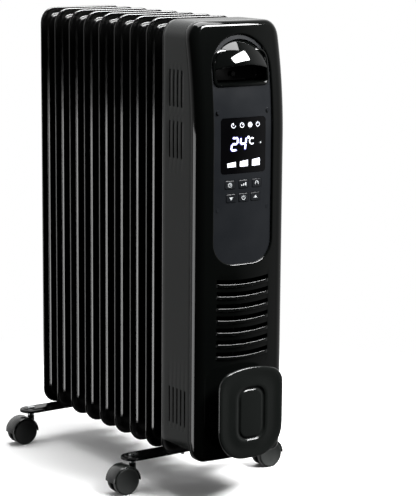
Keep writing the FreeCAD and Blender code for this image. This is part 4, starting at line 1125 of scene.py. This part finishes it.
class HEATER_OT_winder(bpy.types.Operator):
    """Shield-shaped winder plate with a groove round its raised middle"""
    bl_idname = "heater.winder"
    bl_label = "Cord winder"

    def execute(self, context):
        nearest, farthest = box_mm("winder_plate")
        low, high, half, front = nearest.z, farthest.z, farthest.x, nearest.y - REAR_Y
        foot, head, arch = 40, 22, 120
        corner = half - head
        rise = math.sqrt((arch - head) ** 2 - corner ** 2)
        join_x = corner * arch / (arch - head)
        join_z = high - arch + rise * arch / (arch - head)
        shield = [(-half + foot, low), (half - foot, low, foot), (half, low + foot),
                  (half, high - arch + rise, head), (join_x, join_z, arch),
                  (-join_x, join_z, head), (-half, high - arch + rise),
                  (-half, low + foot, foot)]
        centre = (0, (low + high) / 2)
        edge = by_angle(outline(shield), centre, 120)
        recess = by_angle(outline(rounded(-21, 21, 87, 157, 15)), centre, 120)
        rings = []
        for inset, depth in ((0.8, 4.5), (0.1, 3.9), (0, 3.0), (0, 1.6), (0.35, 0.75),
                             (1.0, 0.2), (1.9, 0)):
            rings.append(front_view(grown(edge, -inset), front + depth))
        outer, inner = grown(edge, -1.9), grown(recess, 2.2)
        for share in (0.15, 0.35, 0.6, 0.85, 1):
            dip = 0.7 * math.sin(math.pi * share) ** 2
            rings.append(front_view(mixed(outer, inner, share), front + dip))
        for grow, depth in ((1.2, 0.25), (0.5, 0.8), (0, 1.5), (-0.5, 1.9), (-1.2, 2.1),
                            (-2.4, 2.1), (-3.1, 1.9), (-3.6, 1.3), (-4.0, 0.8), (-4.8, 0.58),
                            (-6, 0.55)):
            rings.append(front_view(grown(recess, grow), front + depth))
        mesh = mesh_of("winder_shield", [loft(rings, first_cap=True, last_cap=True)])
        shown("winder_shield", mesh, finish_named("winder_satin"),
              nodes=["winder_plate"])
        return {"FINISHED"}


def track(end, side, count=16):
    """Stadium outline along X, anticlockwise seen from above."""
    straight = end - side
    points = []
    for centre, first in ((straight, -90), (-straight, 90)):
        points += [on_circle(centre, 0, side, first + 180 * k / count)
                   for k in range(count + 1)]
    return points


class HEATER_OT_feet(bpy.types.Operator):
    """Pressed foot brackets with a turned-down rim and a raised middle"""
    bl_idname = "heater.feet"
    bl_label = "Foot brackets"

    def execute(self, context):
        for node in ("foot_bracket_front", "foot_bracket_rear"):
            low, high = box_mm(node)
            y, top = (low.y + high.y) / 2, high.z
            loop = track(high.x, BRACKET_HALF)
            rings = []
            for inset, z in ((0, top - 5), (0, top - 3.0), (0.25, top - 2.1), (0.9, top - 1.5),
                             (1.9, top - 1.3), (3.6, top - 1.3), (4.6, top - 1.0),
                             (5.4, top - 0.35), (6.4, top), (9, top)):
                rings.append([(x, y + d, z) for x, d in grown(loop, -inset)])
            sheet = loft(rings)
            # the flat top is a ladder of quads between the two long sides
            count = len(loop)
            ladder = [(k, k + 1, count - 2 - k, count - 1 - k) for k in range(count // 2 - 1)]
            mesh = mesh_of(node, [sheet, (rings[-1], ladder)], inside=(0, y, top - 12), sharp=50)
            paint = finish_named("bracket_enamel")
            shown(f"{node}_pressing", mesh, paint, nodes=[node], wall=1.4,
                  edge=0.3)
        return {"FINISHED"}


def about_y(profile, x, z, start=0, end=360, steps=48):
    """Turn a profile of (y, radius) points about an axis along Y."""
    full = end - start == 360
    rings = []
    for k in range(steps + (0 if full else 1)):
        angle = start + (end - start) * k / steps
        circle = [on_circle(x, z, radius, angle) for _, radius in profile]
        rings.append([(px, y, pz) for (y, _), (px, pz) in zip(profile, circle)])
    return rings + ([rings[0]] if full else [])


class HEATER_OT_casters(bpy.types.Operator):
    """Twin-wheel casters: hoods on their swivels, wheels on their axles"""
    bl_idname = "heater.casters"
    bl_label = "Casters"

    def execute(self, context):
        hood_paint = finish_named("caster_hood_plastic")
        wheel_paint = finish_named("caster_wheel_plastic")
        for name in CASTERS:
            hood = f"caster_hood_{name}"
            body = f"caster_{name}"
            axle = middle(f"caster_axle_{name}")
            low, high = box_mm(hood)
            half = (high.y - low.y) / 2
            outer, inner = 21, 19.1
            fender = [(-half, inner), (-half, inner + 0.7), (-half + 0.5, outer - 0.5),
                      (-half + 1.4, outer), (half - 1.4, outer), (half - 0.5, outer - 0.5),
                      (half, inner + 0.7), (half, inner), (half - 0.8, inner),
                      (-half + 0.8, inner)]
            fender = [(axle.y + y, r) for y, r in fender]
            web = [(axle.y - 3.4, 2), (axle.y - 3.4, inner + 0.4), (axle.y + 3.4, inner + 0.4),
                   (axle.y + 3.4, 2)]
            stem_x = middle("caster_stems").x + math.copysign(103, axle.x)
            post = [[(*on_circle(stem_x, axle.y, r, 15 * k), z) for k in range(24)]
                    for r, z in ((4.7, 30), (4.7, 39.2), (3.9, 40), (2.2, 40), (2.2, 30))]
            rings = about_y(fender, axle.x, axle.z, 0, 180, 40)
            webs = about_y(web, axle.x, axle.z, 0, 180, 40)
            mesh = mesh_of(hood, [loft(rings, first_cap=True, last_cap=True),
                                  loft(webs, first_cap=True, last_cap=True),
                                  loft(post + [post[0]])], merge=0.00001)
            shown(f"{hood}_shell", mesh, hood_paint, body=body,
                  nodes=[hood])
            for letter in "ab":
                wheel = f"caster_wheel_{name}_{letter}"
                low, high = box_mm(wheel)
                side = 1 if middle(wheel).y > axle.y else -1
                inner_y, outer_y = (low.y, high.y) if side > 0 else (high.y, low.y)
                radius = (high.z - low.z) / 2
                profile = [
                    (inner_y, 2.1), (inner_y, 5), (outer_y - 2 * side, 5.2),
                    (outer_y - 2 * side, radius - 3), (inner_y, radius - 2.6),
                    (inner_y, radius - 0.8), (inner_y + 0.8 * side, radius),
                    (outer_y - 1.2 * side, radius), (outer_y - 0.4 * side, radius - 0.4),
                    (outer_y, radius - 1.2), (outer_y, radius - 2.4),
                    (outer_y - 0.4 * side, radius - 3.0), (outer_y - 0.4 * side, 0.02)]
                rings = about_y(profile, axle.x, axle.z)
                mesh = mesh_of(wheel, [loft(rings, closed=False)], merge=0.03, sharp=45)
                shown(f"{wheel}_tyre", mesh, wheel_paint, body=wheel,
                      nodes=[wheel])
        return {"FINISHED"}


class HEATER_OT_paint(bpy.types.Operator):
    """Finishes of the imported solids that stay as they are"""
    bl_idname = "heater.paint"
    bl_label = "Other finishes"

    def execute(self, context):
        rows = {row["node"]: row["material_slot"] for row in frame["record"]["subparts"]}
        for node, thing in frame["nodes"].items():
            thing.data.materials.clear()
            # the overrides give the screws black zinc and the heat shield its painted shade
            thing.data.materials.append(finish_named(REFINISH_AND_PAINTED_SHADE.get(node, rows[node])))
        return {"FINISHED"}


class HEATER_PT_panel(bpy.types.Panel):
    """Lists the pieces of the heater"""
    bl_label = "Radiator"
    bl_space_type = "VIEW_3D"
    bl_region_type = "UI"
    bl_category = "Radiator"

    def draw(self, context):
        for kind in OPERATORS:
            self.layout.operator(kind.bl_idname)
        for group in SETTINGS:
            holder = getattr(context.scene, group)
            for name in holder.bl_rna.properties.keys():
                if name not in ("rna_type", "name"):
                    self.layout.prop(holder, name)


OPERATORS = (
    HEATER_OT_stage, HEATER_OT_paint, HEATER_OT_fins, HEATER_OT_casing, HEATER_OT_front,
    HEATER_OT_handle, HEATER_OT_display, HEATER_OT_keys, HEATER_OT_winder, HEATER_OT_feet,
    HEATER_OT_casters,
)
SETTINGS = {
    "heater_fins": HeaterFinSettings, "heater_front": HeaterFrontSettings,
    "heater_signs": HeaterSignSettings, "heater_stage": HeaterStageSettings,
}


def register():
    for kind in (*SETTINGS.values(), *OPERATORS, HEATER_PT_panel):
        bpy.utils.register_class(kind)
    for name, kind in SETTINGS.items():
        setattr(bpy.types.Scene, name, bpy.props.PointerProperty(type=kind))


def unregister():
    for name in SETTINGS:
        delattr(bpy.types.Scene, name)
    for kind in reversed((*SETTINGS.values(), *OPERATORS, HEATER_PT_panel)):
        bpy.utils.unregister_class(kind)


def clear_scene():
    """Remove the start-up cube, lamp and camera."""
    for name in ("Cube", "Light", "Camera"):
        if name in bpy.data.objects:
            bpy.data.objects.remove(bpy.data.objects[name])


def main():
    clear_scene()
    register()
    for kind in OPERATORS:
        group, action = kind.bl_idname.split(".")
        getattr(getattr(bpy.ops, group), action)()


if __name__ == "__main__":
    main()
